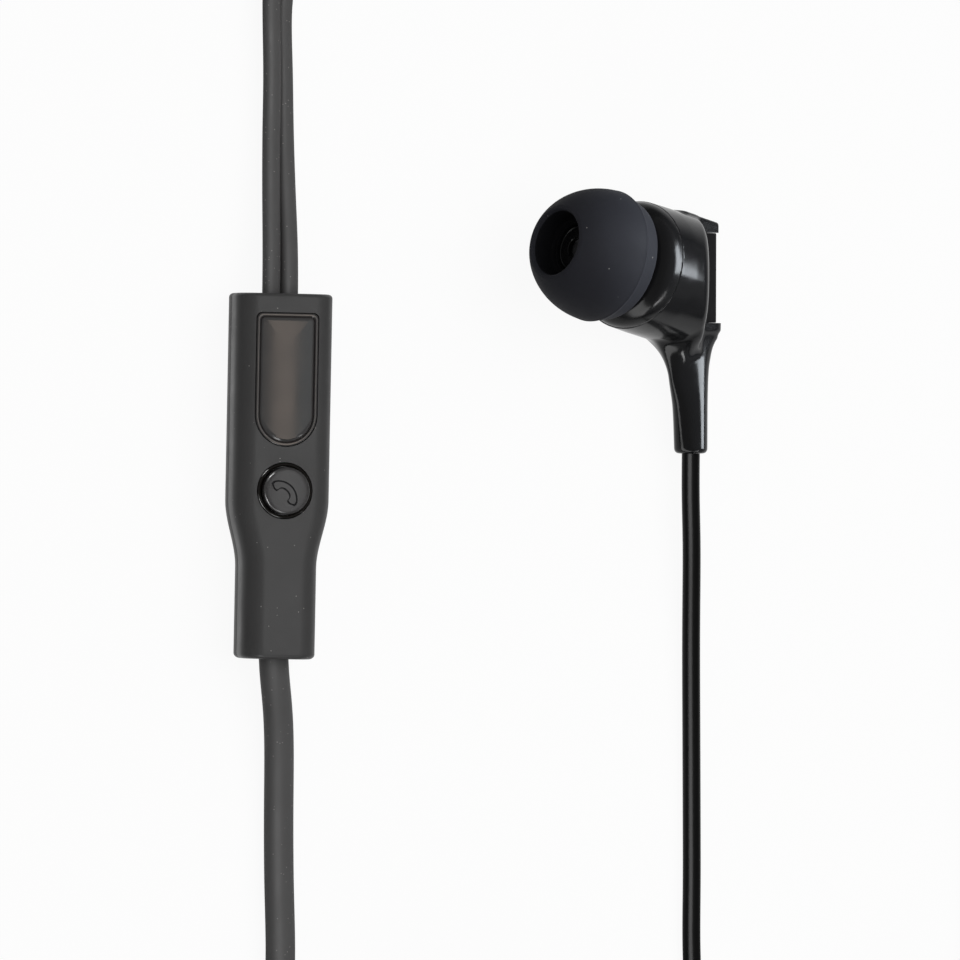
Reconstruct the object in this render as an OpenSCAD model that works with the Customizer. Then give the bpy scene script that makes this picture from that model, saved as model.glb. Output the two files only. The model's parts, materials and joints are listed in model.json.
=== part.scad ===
// Wired in-ear earphones with an inline call remote, laid out on a table.
// The remote lies on its flat back at the origin, with its length along Y.
// Two ear cords leave its top end and the main cord leaves its bottom end.
// The cords go round the working area and are put away at its lower edge.
// All sizes are in millimetres.

/* [Remote] */
// Length of the remote between its two cord ends
remote_l = 31.8; // [30:0.2:36]
// Width of the remote beside the button and the panel
remote_w = 8.6; // [8.4:0.1:10]
// Width of the slimmer lower end
remote_end_w = 6.6; // [6.6:0.1:8]
// Thickness of the remote, without the button
remote_h = 6.4; // [6.2:0.1:7.4]
// Height of the parting line, which is also the height of the cord axes
split_z = 3.1; // [3.0:0.05:3.2]
// Wall thickness of the two shells
shell_wall = 0.8; // [0.6:0.05:1.0]
// Thickness of the end walls that the cords pass through
end_wall = 1.2; // [1:0.1:1.5]
// Radius of the long edges of the front shell
front_edge_r = 1.8; // [1.4:0.1:2.2]
// Radius of the long edges of the back shell
back_edge_r = 2.2; // [1.6:0.1:2.4]
// Where the waist between the two widths starts, below the middle
waist_top = 2.1; // [1.5:0.1:3]
// Length of the waist
waist_l = 5.8; // [4:0.1:8]

/* [Inlay panel] */
// Width of the inlay panel
panel_w = 5.5; // [4.8:0.1:5.6]
// Length of the inlay panel
panel_l = 11.6; // [9:0.1:12]
// Thickness of the inlay panel
panel_t = 0.5; // [0.4:0.05:0.6]
// Distance from the remote's top end to the panel
panel_inset = 1.7; // [1:0.1:2.5]
// Width of the rib and the groove round the panel
panel_bevel = 0.42; // [0.3:0.02:0.6]

/* [Call button] */
// Radius of the button's cap
button_r = 2.05; // [1.8:0.05:2.2]
// How far the cap stands above the front shell
button_proud = 1.1; // [0.6:0.05:1.2]
// How far the button travels when it is pressed
button_travel = 0.3; // [0.2:0.05:0.3]
// Distance from the remote's middle down to the button
button_drop = 1.25; // [0.8:0.05:1.6]
// Wall of the gloss bezel round the button
bezel_wall = 0.32; // [0.25:0.01:0.4]
// Running clearance round the button and the switch plunger
slide_gap = 0.06; // [0.03:0.01:0.09]

/* [Inside the remote] */
// Length of the circuit board
board_l = 22; // [20:0.5:22]
// Width of the circuit board
board_w = 4.6; // [4:0.1:4.6]
// Thickness of the circuit board
board_t = 0.6; // [0.5:0.1:0.8]
// Height of the board's underside above the table
board_z = 2.3; // [2.1:0.05:2.4]
// Side of the square switch body
switch_w = 3.0; // [2.6:0.1:3.4]
// Height of the switch body
switch_h = 0.8; // [0.7:0.05:0.9]
// Radius of the microphone capsule
mic_r = 1.5; // [1.2:0.1:1.8]
// Thickness of the microphone capsule
mic_t = 1.1; // [0.8:0.1:1.2]
// Radius of the sound hole in the back shell
mic_hole_r = 0.4; // [0.3:0.05:0.6]
// Length of the crimps that hold the cords
crimp_l = 1.6; // [1.2:0.1:1.8]
// Wall of the crimps
crimp_wall = 0.45; // [0.35:0.05:0.55]

/* [Ear tip] */
// Largest radius of the ear tip
tip_r = 5.85; // [5.4:0.05:6.4]
// Distance from the ear tip's mouth to its rear rim
tip_l = 7.2; // [6.8:0.1:7.4]
// Radius of the mouth
tip_mouth_r = 2.85; // [2.6:0.05:3]
// Wall of the dome
tip_wall = 0.65; // [0.5:0.05:0.8]
// Radius of the rear rim
tip_rim_r = 5.35; // [5.1:0.05:5.6]
// Wall of the core that grips the nozzle
core_wall = 0.75; // [0.6:0.05:0.9]
// Travel that takes the ear tip off its nozzle
tip_travel = 8; // [7:0.5:12]

/* [Nozzle] */
// Distance from the housing's seam to the ear tip's mouth
mouth_z = 9.1; // [8.8:0.1:9.6]
// Depth of the nozzle's end behind the mouth
nozzle_recess = 2.3; // [2:0.1:2.6]
// Radius of the nozzle's barrel
nozzle_r = 1.95; // [1.8:0.05:2.1]
// Height of the lip that holds the ear tip
nozzle_lip = 0.2; // [0.1:0.05:0.3]
// Radius of the sound hole in the nozzle's end
sound_r = 0.9; // [0.7:0.05:1.1]
// Upward pitch of the nozzle
nozzle_pitch = 11.7; // [8:0.1:15]
// Sideways turn of the nozzle towards the ear canal
nozzle_yaw = 9.2; // [6:0.1:12]

/* [Earbud housing] */
// Radius of the round housing
drum_r = 5.75; // [5.6:0.05:6.2]
// Wall of the round housing
drum_wall = 1.03; // [0.9:0.01:1.2]
// Upward pitch of the housing's axis
drum_pitch = 10.8; // [8:0.1:14]
// Distance from the seam forward to the shoulder of the front housing
shoulder_z = 1.25; // [1:0.05:1.4]
// Distance from the stem's axis to the middle of the seam
seam_reach = 8.64; // [8.2:0.02:9.2]
// Radius of the two curved flanks that draw the housing in to its spine
flank_r = 14.8; // [13:0.1:18]
// Half the width of the spine on the back
spine_hw = 1.6; // [1.5:0.05:1.8]
// Distance from the stem's axis to the back of the spine
spine_back = 1.8; // [1.7:0.05:2]
// How far the collar and the cap stand out round the rear cover
cover_ledge = 0.2; // [0.1:0.05:0.3]
// Height of the rear cover
cover_l = 7.9; // [7:0.1:8.2]
// Gap round the rear cover
cover_gap = 0.05; // [0.03:0.01:0.1]

/* [Stem] */
// Radius of the stem at its lower end
stem_r = 1.465; // [1.35:0.005:1.6]
// Distance from the level of the seam down to the stem's end
stem_l = 16.5; // [15:0.1:19]
// Radius of the cord bush in the stem
bush_r = 1.05; // [0.95:0.05:1.1]
// Length of the cord bush
bush_l = 2.0; // [1.5:0.1:3]

/* [Driver] */
// Radius of the driver's frame
driver_r = 4.6; // [4.4:0.02:4.65]
// Depth of the driver
driver_l = 2.6; // [2.4:0.1:2.8]
// Radius of the magnet
magnet_r = 1.75; // [1.6:0.05:1.85]
// Thickness of the diaphragm's film
film_t = 0.12; // [0.1:0.01:0.15]

/* [Cords] */
// Diameter of the two ear cords
ear_cord_d = 1.6; // [1.4:0.05:1.65]
// Diameter of the main cord
main_cord_d = 2.6; // [2.2:0.05:2.6]
// Turns of the main coil side by side, which is also the number of layers
coil_rows = 3; // [3:1:3]
// Radius at the middle of the main coil's turns
coil_r = 14.9; // [13:0.1:15.6]
// Radius at the middle of the coil that the two ear cords make together
ear_coil_r = 9.0; // [8.4:0.1:9.2]
// Thickness of the ties round the coils
tie_t = 0.3; // [0.2:0.05:0.5]
// Width of the main coil's tie
tie_w = 5; // [3:0.5:8]
// Width of the ear cords' tie
ear_tie_w = 3; // [2:0.5:4]

/* [Plug] */
// Radius of the plug's contact pin
pin_r = 1.75; // [1.75:0.25:1.75]
// Length of the contact pin
pin_l = 14; // [14:1:14]
// Radius of the plug's body
plug_body_r = 3.0; // [2.8:0.1:3.4]
// Length of the plug's body
plug_body_l = 12; // [10:0.5:14]
// Length of the tapered strain relief
relief_l = 9; // [8:0.5:10]
// Width of each insulating band on the pin
band_w = 0.5; // [0.4:0.1:0.6]

/* [Earbuds on the table] */
// How far each earbud is rolled back about its stem
lie_tilt = 37.3; // [33:0.1:45]
// Turn of the right earbud about the vertical
right_turn = 1.0; // [0:0.1:3]
// Turn of the left earbud about the vertical
left_heading = -90; // [-92:0.5:-88]

/* [Hidden] */

$fn = 64;
eps = 0.01;

// Heights and places inside the remote
front_h = remote_h - split_z;
waist_y1 = -waist_top;
waist_y0 = -waist_top - waist_l;
button_y = -button_drop;
panel_y = remote_l / 2 - panel_inset - panel_l / 2;
bezel_r = button_r + slide_gap + bezel_wall;
ceiling_z = remote_h - shell_wall;
board_top = board_z + board_t;
switch_top = board_top + switch_h;
bezel_bottom = ceiling_z - 0.1;
flange_t = 0.4;
flange_top = bezel_bottom - 0.1;
plunger_r = 0.6;
plunger_top = switch_top + 0.45;
plunger_bottom = switch_top - 0.25;
mic_y = -board_l / 2 + mic_r + 1.3;
ear_cord_r = ear_cord_d / 2;
main_cord_r = main_cord_d / 2;
cord_gap = 0.05;
crimp_inset = 0.6;
ear_crimp_y = remote_l / 2 - end_wall - crimp_inset - crimp_l;
main_crimp_y = -remote_l / 2 + end_wall + crimp_inset;

// Levels on the earbud's stem and spine, measured from the level of the seam
cover_y0 = -5.0;
cover_y1 = cover_y0 + cover_l;
collar_y = -6.3;
collar_back = spine_back + cover_ledge + 0.05;
collar_hw = spine_hw + 0.15;
collar_edge_r = 0.6;
cover_front = -0.3;
tail_x = -4.71;

// Levels of the ear tip along the nozzle's axis
rim_z = mouth_z - tip_l;
dome_z = mouth_z - 5.5;
nozzle_end = mouth_z - nozzle_recess;
core_r = nozzle_r + nozzle_lip + 0.05;
lip_w = 0.5;

// Driver levels behind the seam
driver_z = 0.7;
seat_z = driver_z + 1.25;
spigot_l = 0.6;

// Earbud places on the table
lie_z = (collar_back - collar_edge_r) * sin(lie_tilt) + (collar_hw - collar_edge_r) * cos(lie_tilt)
    + collar_edge_r;
right_place = [37.26, 19.2, lie_z];
left_place = [60.5, -77.5, lie_z];

// Places of the coils and the plug
coil_z0 = tie_t;
coil_bundle = coil_rows * main_cord_d;
coil_centre = [14.6, -66];
ear_coil_bundle = 2 * ear_cord_d;
ear_coil_centre = [56.85, -54.5];
plug_x = 26;
plug_y = -84;
pin_x = plug_x + relief_l + plug_body_l;

// Ways of the cords over the table. Each list of points is chosen by hand.
right_route = [
    [0.8, 13, 3.1], [0.8, 16.5, 3.1], [0.8, 20, 2.7], [0.7, 25, 1.8], [0.6, 30, 1.1],
    [0.5, 35, 0.8], [0.3, 41.4, 0.8], [0.8, 44.2, 0.8], [3, 46.4, 0.8], [7, 47, 0.8],
    [22, 47, 0.8], [40, 47, 0.8], [57, 47, 0.8], [61.6, 45.8, 0.8], [64.2, 42.8, 0.8],
    [65, 38, 0.8], [65, 22, 0.8], [65, 4, 0.8], [65, -14, 0.8], [65, -32, 0.8],
    [65, -44, 0.8], [65, -50, 1.1]
];
right_end_route = [
    [51.05, -60.3, 2.7], [48.2, -57.45, 2.7], [45.6, -54.8, 2.6], [43.2, -52, 1.5],
    [40.9, -49, 0.85], [39.4, -46, 0.8], [38.8, -42, 0.8], [38.6, -34, 0.8], [38.4, -24, 0.8],
    [38.1, -14, 1.3], [37.8, -5, 2.2], [37.6, -1, 2.4], [37.55, 2.7, 2.4]
];
left_route = [
    [-0.8, 13, 3.1], [-0.8, 16.5, 3.1], [-0.8, 20, 2.9], [-0.8, 25, 2.3], [-0.8, 30, 1.95],
    [-0.8, 35, 1.9], [-1, 41.4, 1.9], [-0.8, 44.6, 1.6], [2, 47.9, 0.8], [7, 48.7, 0.8],
    [22, 48.7, 0.8], [40, 48.7, 0.8], [57, 48.7, 0.8], [62.6, 47.2, 0.8], [65.7, 43.6, 0.8],
    [66.7, 38, 0.8], [66.7, 22, 0.8], [66.7, 4, 0.8], [66.7, -14, 0.8], [66.7, -32, 0.8],
    [66.7, -44, 0.8], [66.7, -51, 1.1]
];
left_end_route = [
    [56, -64.3, 2.7], [51, -64.3, 2.4], [46, -64.4, 1.6], [41.6, -64.9, 1.1],
    [38, -66.8, 0.8], [36.1, -70.4, 0.9], [36.6, -74.3, 1.6], [39.2, -76.8, 2.3],
    [42, -77.5, 2.4], [44, -77.5, 2.4]
];
main_route = [
    [0, -12.9, 3.1], [0, -16.5, 3.1], [0.65, -20, 2.5], [1, -24, 1.8], [1.15, -29, 1.35],
    [1.3, -35, 1.3], [1.6, -43, 1.3], [1.2, -48.6, 1.4], [-0.8, -54.6, 1.5], [-2.4, -60.4, 1.6]
];
tail_route = [
    [14.6, -83.5, 6.8], [17.4, -83.5, 6.5], [20, -83.7, 5.5], [22.2, -83.9, 4], [24, -84, 3],
    [26, -84, 3]
];

// Smooth step from 0 to 1
function eased(t) = let (u = min(1, max(0, t))) u * u * (3 - 2 * u);

// Half the remote's width at a distance y along it
function remote_hw(y) = remote_end_w / 2
    + (remote_w - remote_end_w) / 2 * eased((y - waist_y0) / (waist_y1 - waist_y0));

// One half ring of the remote's section: up one side, over the face and down the other side
function half_ring(y, hw, top, r, base = 0) = concat(
    [[hw, y, base]],
    [for (k = [0:5]) let (a = 90 * k / 5) [hw - r + r * cos(a), y, top - r + r * sin(a)]],
    [for (k = [0:5]) let (a = 90 + 90 * k / 5) [-hw + r + r * cos(a), y, top - r + r * sin(a)]],
    [[-hw, y, base]]
);

// A rounded rectangle across the stem, from its front to its back
function stem_ring(y, front, back, hw, r) = [
    for (c = [[back - r, hw - r, 0], [front + r, hw - r, 90],
              [front + r, r - hw, 180], [back - r, r - hw, 270]])
        for (k = [0:5]) let (a = c[2] + 90 * (k + 0.5) / 6)
            [c[0] + r * cos(a), y, c[1] + r * sin(a)]
];

// The closed surface through a list of rings, from the first to the last
module skin(rings) {
    n = len(rings[0]);
    m = len(rings);
    sides = [for (i = [0:m - 2]) for (k = [0:n - 1])
        let (a = i * n + k, b = i * n + (k + 1) % n, c = b + n, d = a + n)
        each [[a, b, c], [a, c, d]]];
    polyhedron(
        points = [for (r = rings) each r],
        faces = concat([[for (k = [n - 1:-1:0]) k]], [[for (k = [0:n - 1]) (m - 1) * n + k]], sides),
        convexity = 6
    );
}

function unit(v) = v / norm(v);

// Direction of a route at its point i
function way(p, i) = unit(p[min(i + 1, len(p) - 1)] - p[max(i - 1, 0)]);

// One ring of a cord round its point i
function cord_ring(p, i, r) = let (t = way(p, i), s = unit(cross(t, [0, 0, 1])), u = cross(s, t))
    [for (k = [0:7]) p[i] + r * (cos(45 * k) * s + sin(45 * k) * u)];

// A cord of radius r along a route
module cord(route, r) {
    skin([for (i = [0:len(route) - 1]) cord_ring(route, i, r)]);
}

// ---------------------------------------------------------------- remote

// Ends of the remote: how far the section is drawn in at each station
stations = concat(
    [[-remote_l / 2, 0.4], [-remote_l / 2 + 0.12, 0.17], [-remote_l / 2 + 0.4, 0]],
    [for (k = [0:8]) [waist_y0 + (waist_y1 - waist_y0) * k / 8, 0]],
    [[remote_l / 2 - 0.35, 0], [remote_l / 2 - 0.1, 0.12], [remote_l / 2, 0.35]]
);
inner_stations = concat(
    [-remote_l / 2 + end_wall],
    [for (k = [0:4]) waist_y0 + (waist_y1 - waist_y0) * k / 4],
    [remote_l / 2 - end_wall]
);

// One hollow half of the remote, standing on the parting plane
module remote_half(top, edge_r) {
    difference() {
        skin([for (s = stations) half_ring(s[0], remote_hw(s[0]) - s[1], top - s[1], edge_r)]);
        skin([for (y = inner_stations)
            half_ring(y, remote_hw(y) - shell_wall, top - shell_wall, edge_r - shell_wall, -1)]);
    }
}

// A round-ended slot that the two ear cords share, along Y
module cord_slot(r, y0, y1) {
    for (x = [-ear_cord_r, ear_cord_r])
        translate([x, y0, split_z]) rotate([-90, 0, 0]) cylinder(r = r, h = y1 - y0);
    translate([-ear_cord_r, y0, split_z - r]) cube([ear_cord_d, y1 - y0, 2 * r]);
}

// Everything that is cut out of both shells for the cords
module cord_exits() {
    cord_slot(ear_cord_r + cord_gap, remote_l / 2 - end_wall - 1, remote_l / 2 + 1);
    translate([0, -remote_l / 2 + end_wall + 1, split_z]) rotate([90, 0, 0])
        cylinder(r = main_cord_r + cord_gap, h = end_wall + 2);
}

// Outline of the inlay panel, drawn in by an amount: a flat top edge and a round lower end
module panel_outline(inset) {
    r = panel_w / 2 - inset;
    corner = 0.5;
    translate([0, -panel_l / 2 + panel_w / 2]) circle(r = r);
    translate([-r, -panel_l / 2 + panel_w / 2])
        square([2 * r, panel_l - panel_w / 2 - inset - corner]);
    translate([-r + corner, panel_l / 2 - inset - corner - eps]) square([2 * (r - corner), corner + eps]);
    for (s = [-1, 1])
        translate([s * (r - corner), panel_l / 2 - inset - corner]) circle(r = corner);
}

module remote_front_shell() {
    color([0.27, 0.27, 0.27]) difference() {
        translate([0, 0, split_z]) remote_half(front_h, front_edge_r);
        translate([0, button_y, ceiling_z - 1]) cylinder(r = bezel_r + cord_gap, h = 3);
        translate([0, panel_y, remote_h - panel_t]) linear_extrude(2) panel_outline(-cord_gap);
        cord_exits();
    }
}

// Back shell, with the posts under the board and the cradles under the crimps
module remote_back_shell() {
    post_x = board_w / 2 - 0.7;
    post_y = board_l / 2 - 1;
    color([0.24, 0.24, 0.24]) difference() {
        union() {
            translate([0, 0, split_z]) mirror([0, 0, 1]) remote_half(split_z, back_edge_r);
            for (x = [-post_x, post_x]) for (y = [-post_y, post_y])
                translate([x, y, shell_wall - eps]) cylinder(r = 0.5, h = board_z - shell_wall + eps);
            translate([-1.2, ear_crimp_y + 0.3, shell_wall - eps])
                cube([2.4, 1, split_z - ear_cord_r - crimp_wall - shell_wall]);
            translate([-1.2, main_crimp_y + 0.3, shell_wall - eps])
                cube([2.4, 1, split_z - main_cord_r - crimp_wall - shell_wall]);
        }
        cord_exits();
        translate([0, mic_y, -1]) cylinder(r = mic_hole_r, h = shell_wall + 2);
    }
}

// Panel with a raised rib round its edge and a fine groove inside the rib
module inlay_panel() {
    rib_w = panel_bevel - 0.12;
    color([0.33, 0.31, 0.29]) translate([0, panel_y, remote_h - panel_t]) difference() {
        linear_extrude(panel_t + 0.04) panel_outline(0);
        translate([0, 0, panel_t - 0.12]) linear_extrude(1) difference() {
            panel_outline(rib_w);
            panel_outline(panel_bevel);
        }
        translate([0, 0, panel_t]) linear_extrude(1) panel_outline(rib_w);
    }
}

// Gloss ring round the button, with a chamfered mouth
module button_bezel() {
    inner = button_r + slide_gap;
    top = remote_h + 0.05;
    color([0.08, 0.08, 0.08]) translate([0, button_y, 0]) rotate_extrude() polygon([
        [inner, bezel_bottom], [bezel_r, bezel_bottom], [bezel_r, top - 0.05], [bezel_r - 0.05, top],
        [inner + 0.22, top], [inner, top - 0.4]
    ]);
}

// Round cap with a rounded edge, a flange under the bezel and a boss over the switch
module call_button() {
    top = remote_h + button_proud;
    edge = 0.35;
    boss_r = 1.1;
    color([0.25, 0.25, 0.25]) translate([0, button_y, 0]) rotate_extrude() polygon(concat(
        [[0, plunger_top], [boss_r, plunger_top], [boss_r, flange_top - flange_t],
         [button_r + 0.25, flange_top - flange_t], [button_r + 0.25, flange_top],
         [button_r, flange_top]],
        [for (a = [0:15:90]) [button_r - edge + edge * cos(a), top - 0.12 - edge + edge * sin(a)]],
        [[button_r * 0.5, top - 0.03], [0, top]]
    ));
}

module switch_plunger() {
    color([0.7, 0.35, 0.12]) translate([0, button_y, plunger_bottom])
        cylinder(r = plunger_r, h = plunger_top - plunger_bottom);
}

module switch_body() {
    color([0.75, 0.75, 0.76]) difference() {
        translate([-switch_w / 2, button_y - switch_w / 2, board_top]) cube([switch_w, switch_w, switch_h]);
        translate([0, button_y, board_top + 0.15])
            cylinder(r = plunger_r + slide_gap, h = switch_h);
    }
}

module circuit_board() {
    color([0.05, 0.3, 0.15]) translate([-board_w / 2, -board_l / 2, board_z])
        cube([board_w, board_l, board_t]);
}

module microphone() {
    color([0.72, 0.7, 0.66]) translate([0, mic_y, board_z - mic_t]) difference() {
        cylinder(r = mic_r, h = mic_t);
        translate([0, 0, -eps]) cylinder(r = 0.5, h = 0.3);
    }
}

module ear_cord_crimp() {
    color([0.8, 0.78, 0.7]) difference() {
        cord_slot(ear_cord_r + crimp_wall, ear_crimp_y, ear_crimp_y + crimp_l);
        cord_slot(ear_cord_r, ear_crimp_y - 1, ear_crimp_y + crimp_l + 1);
    }
}

module main_cord_crimp() {
    color([0.8, 0.78, 0.7]) translate([0, main_crimp_y, split_z]) rotate([-90, 0, 0]) difference() {
        cylinder(r = main_cord_r + crimp_wall, h = crimp_l);
        translate([0, 0, -1]) cylinder(r = main_cord_r, h = crimp_l + 2);
    }
}

// ---------------------------------------------------------------- earbud
// An earbud's own frame: X points out of its back, Y up its stem and Z to its outer side.
// Y is 0 at the level of the seam's middle and the stem's axis is X = 0, Z = 0.

// Place of the children of the right or the left earbud on the table
module lie(side) {
    if (side == "right")
        translate(right_place) rotate([0, 0, right_turn]) rotate([0, lie_tilt, 0]) children();
    else
        translate(left_place) rotate([0, 0, left_heading]) rotate([0, lie_tilt, 0])
            mirror([0, 0, 1]) children();
}

// Frame on the housing's axis, with Z pointing back from the seam
module drum_frame() {
    translate([-seam_reach, 0, 0]) rotate([0, 0, -drum_pitch]) rotate([0, 90, 0]) children();
}

// Frame on the nozzle's axis, with Z pointing forward from the seam
module nozzle_frame(share = 1) {
    translate([-seam_reach, 0, 0]) rotate([0, -nozzle_yaw * share, 0])
        rotate([0, 0, -(drum_pitch + (nozzle_pitch - drum_pitch) * share)]) rotate([0, -90, 0]) children();
}

// Soft tip: a domed skirt round a core that grips the nozzle, with a wide recessed mouth
module ear_tip_shape() {
    dome_a = (mouth_z - dome_z) / sqrt(1 - pow((tip_mouth_r + lip_w) / tip_r, 2));
    end_a = asin((mouth_z - dome_z) / dome_a);
    step_z = nozzle_end + 0.1;
    core_back = rim_z + 0.35;
    rotate_extrude($fn = 96) polygon(concat(
        [[tip_rim_r - 0.15, rim_z], [tip_rim_r, rim_z + 0.15]],
        [for (k = [0:9]) let (a = end_a * k / 9) [tip_r * cos(a), dome_z + dome_a * sin(a)]],
        [for (a = [30:30:180]) [tip_mouth_r + lip_w / 2 + lip_w / 2 * cos(a),
                                mouth_z + lip_w / 2 * sin(a)]],
        [[tip_mouth_r - 0.12, step_z + 0.2], [tip_mouth_r - 0.3, step_z], [core_r + 0.1, step_z],
         [core_r, step_z - 0.1], [core_r, core_back], [core_r + core_wall - 0.1, core_back],
         [core_r + core_wall, core_back + 0.1], [core_r + core_wall, mouth_z - 2.1],
         [core_r + core_wall + 0.3, mouth_z - 1.8]],
        [for (k = [5:-1:0]) let (a = 38 * k / 5)
            [(tip_r - tip_wall) * cos(a), dome_z + (dome_a - tip_wall) * sin(a)]],
        [[tip_rim_r - tip_wall, rim_z + 0.15], [tip_rim_r - tip_wall + 0.15, rim_z]]
    ));
}

module nozzle_mesh_shape() {
    translate([0, 0, nozzle_end - 0.6]) cylinder(r = sound_r + 0.38, h = 0.15);
}

// Rounded front of the housing and the nozzle, turned towards the ear canal
module front_housing_shape() {
    lip_r = nozzle_r + nozzle_lip;
    chamber_r = sound_r + 0.4;
    groove = 0.14;
    difference() {
        union() {
            hull() {
                drum_frame() translate([0, 0, -0.45]) cylinder(r = drum_r, h = 0.45 - groove);
                nozzle_frame(0.35) translate([0, 0, 0.3]) cylinder(r = drum_r - 0.1, h = 0.3);
                nozzle_frame(0.65) translate([0, 0, 0.6]) cylinder(r = drum_r - 0.45, h = 0.3);
                nozzle_frame() translate([0, 0, shoulder_z - 0.2]) cylinder(r = drum_r - 1.05, h = 0.2);
                nozzle_frame() translate([0, 0, shoulder_z]) cylinder(r = drum_r - 2.1, h = 0.3);
            }
            drum_frame() translate([0, 0, -groove - eps]) cylinder(r = drum_r - 0.15, h = groove + eps);
            drum_frame() cylinder(r = driver_r + 0.08, h = spigot_l);
            nozzle_frame() rotate_extrude() polygon([
                [0, 0.5], [2.6, 0.5], [2.6, shoulder_z + 0.4], [nozzle_r, shoulder_z + 0.9],
                [nozzle_r, nozzle_end - 0.9], [lip_r, nozzle_end - 0.7], [lip_r, nozzle_end - 0.35],
                [nozzle_r - 0.1, nozzle_end], [0, nozzle_end]
            ]);
        }
        nozzle_frame() translate([0, 0, nozzle_end - 1]) cylinder(r = sound_r, h = 2);
        nozzle_frame() rotate_extrude() polygon([
            [0, -3], [driver_r - 0.5, -3], [driver_r - 0.5, 0.1], [chamber_r, shoulder_z],
            [chamber_r, nozzle_end - 0.45], [0, nozzle_end - 0.45]
        ]);
    }
}

module diaphragm_shape() {
    drum_frame() translate([0, 0, driver_z]) rotate_extrude() polygon([
        [0, 0.05], [1.1, 0.1], [2.05, 0.33], [3.1, 0.1], [3.95, 0.3], [driver_r - 0.45, 0.3],
        [driver_r - 0.45, 0.3 + film_t], [3.9, 0.3 + film_t], [3.1, 0.1 + film_t], [2.05, 0.33 + film_t],
        [1.1, 0.1 + film_t], [0, 0.05 + film_t]
    ]);
}

module voice_coil_shape() {
    drum_frame() translate([0, 0, driver_z + 0.33 + film_t]) difference() {
        cylinder(r = magnet_r + 0.45, h = 1.35);
        translate([0, 0, -1]) cylinder(r = magnet_r + 0.15, h = 4);
    }
}

// Driver basket and yoke in one turned piece
module driver_frame_shape() {
    pot_r = magnet_r + 0.65;
    shoulder = seat_z - driver_z;
    drum_frame() translate([0, 0, driver_z]) rotate_extrude() polygon([
        [driver_r, 0], [driver_r, shoulder], [driver_r - 0.8, shoulder], [pot_r + 0.8, shoulder + 0.35],
        [pot_r + 0.8, driver_l], [0, driver_l],
        [0, driver_l - 0.3], [pot_r, driver_l - 0.3], [pot_r, 1.0], [driver_r - 0.7, 0.75],
        [driver_r - 0.7, 0.3 + film_t], [driver_r - 0.4, 0.3 + film_t], [driver_r - 0.4, 0]
    ]);
}

module magnet_shape() {
    drum_frame() translate([0, 0, driver_z + 1.0]) cylinder(r = magnet_r, h = driver_l - 1.3);
}

// Stem, with its rounded end, its flare under the housing and the collar under the rear cover
module stem_shape() {
    e = -stem_l;
    skin([
        stem_ring(e, -(stem_r - 0.45), stem_r - 0.45, stem_r - 0.45, stem_r - 0.45),
        stem_ring(e + 0.12, -(stem_r - 0.16), stem_r - 0.16, stem_r - 0.16, stem_r - 0.16),
        stem_ring(e + 0.45, -stem_r, stem_r, stem_r, stem_r),
        stem_ring(-12.6, -stem_r - 0.3, stem_r + 0.01, stem_r + 0.01, stem_r),
        stem_ring(-10.4, -stem_r - 0.75, stem_r + 0.03, stem_r + 0.03, stem_r - 0.02),
        stem_ring(-9.0, -stem_r - 1.02, stem_r + 0.08, stem_r + 0.06, stem_r - 0.05),
        stem_ring(-8.0, -stem_r - 1.4, stem_r + 0.2, stem_r + 0.12, stem_r - 0.15),
        stem_ring(-7.2, -stem_r - 1.95, collar_back - 0.25, collar_hw - 0.1, stem_r - 0.4),
        stem_ring(-6.6, -stem_r - 2.8, collar_back - 0.08, collar_hw - 0.03, stem_r - 0.65),
        stem_ring(collar_y, -stem_r - 3.4, collar_back, collar_hw, collar_edge_r),
        stem_ring(cover_y0, -stem_r - 3.5, collar_back, collar_hw, collar_edge_r)
    ]);
}

// Straight rounded bar along Y, used for the spine, the cap and the rear cover
module spine_bar(front, back, hw, r, y0, y1) {
    translate([0, y1, 0]) rotate([90, 0, 0]) linear_extrude(y1 - y0) {
        translate([front, -hw]) square([back - r - front, 2 * hw]);
        translate([front, r - hw]) square([back - front, 2 * (hw - r)]);
        for (z = [r - hw, hw - r]) translate([back - r, z]) circle(r = r, $fn = 32);
    }
}

// Everything above the sloping line that the housing's top follows back to the cap
module above_slope(lift = 0) {
    translate([-seam_reach, 0, 0]) rotate([0, 0, -drum_pitch])
        translate([-2, drum_r + lift, -10]) cube([30, 20, 20]);
}

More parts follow.
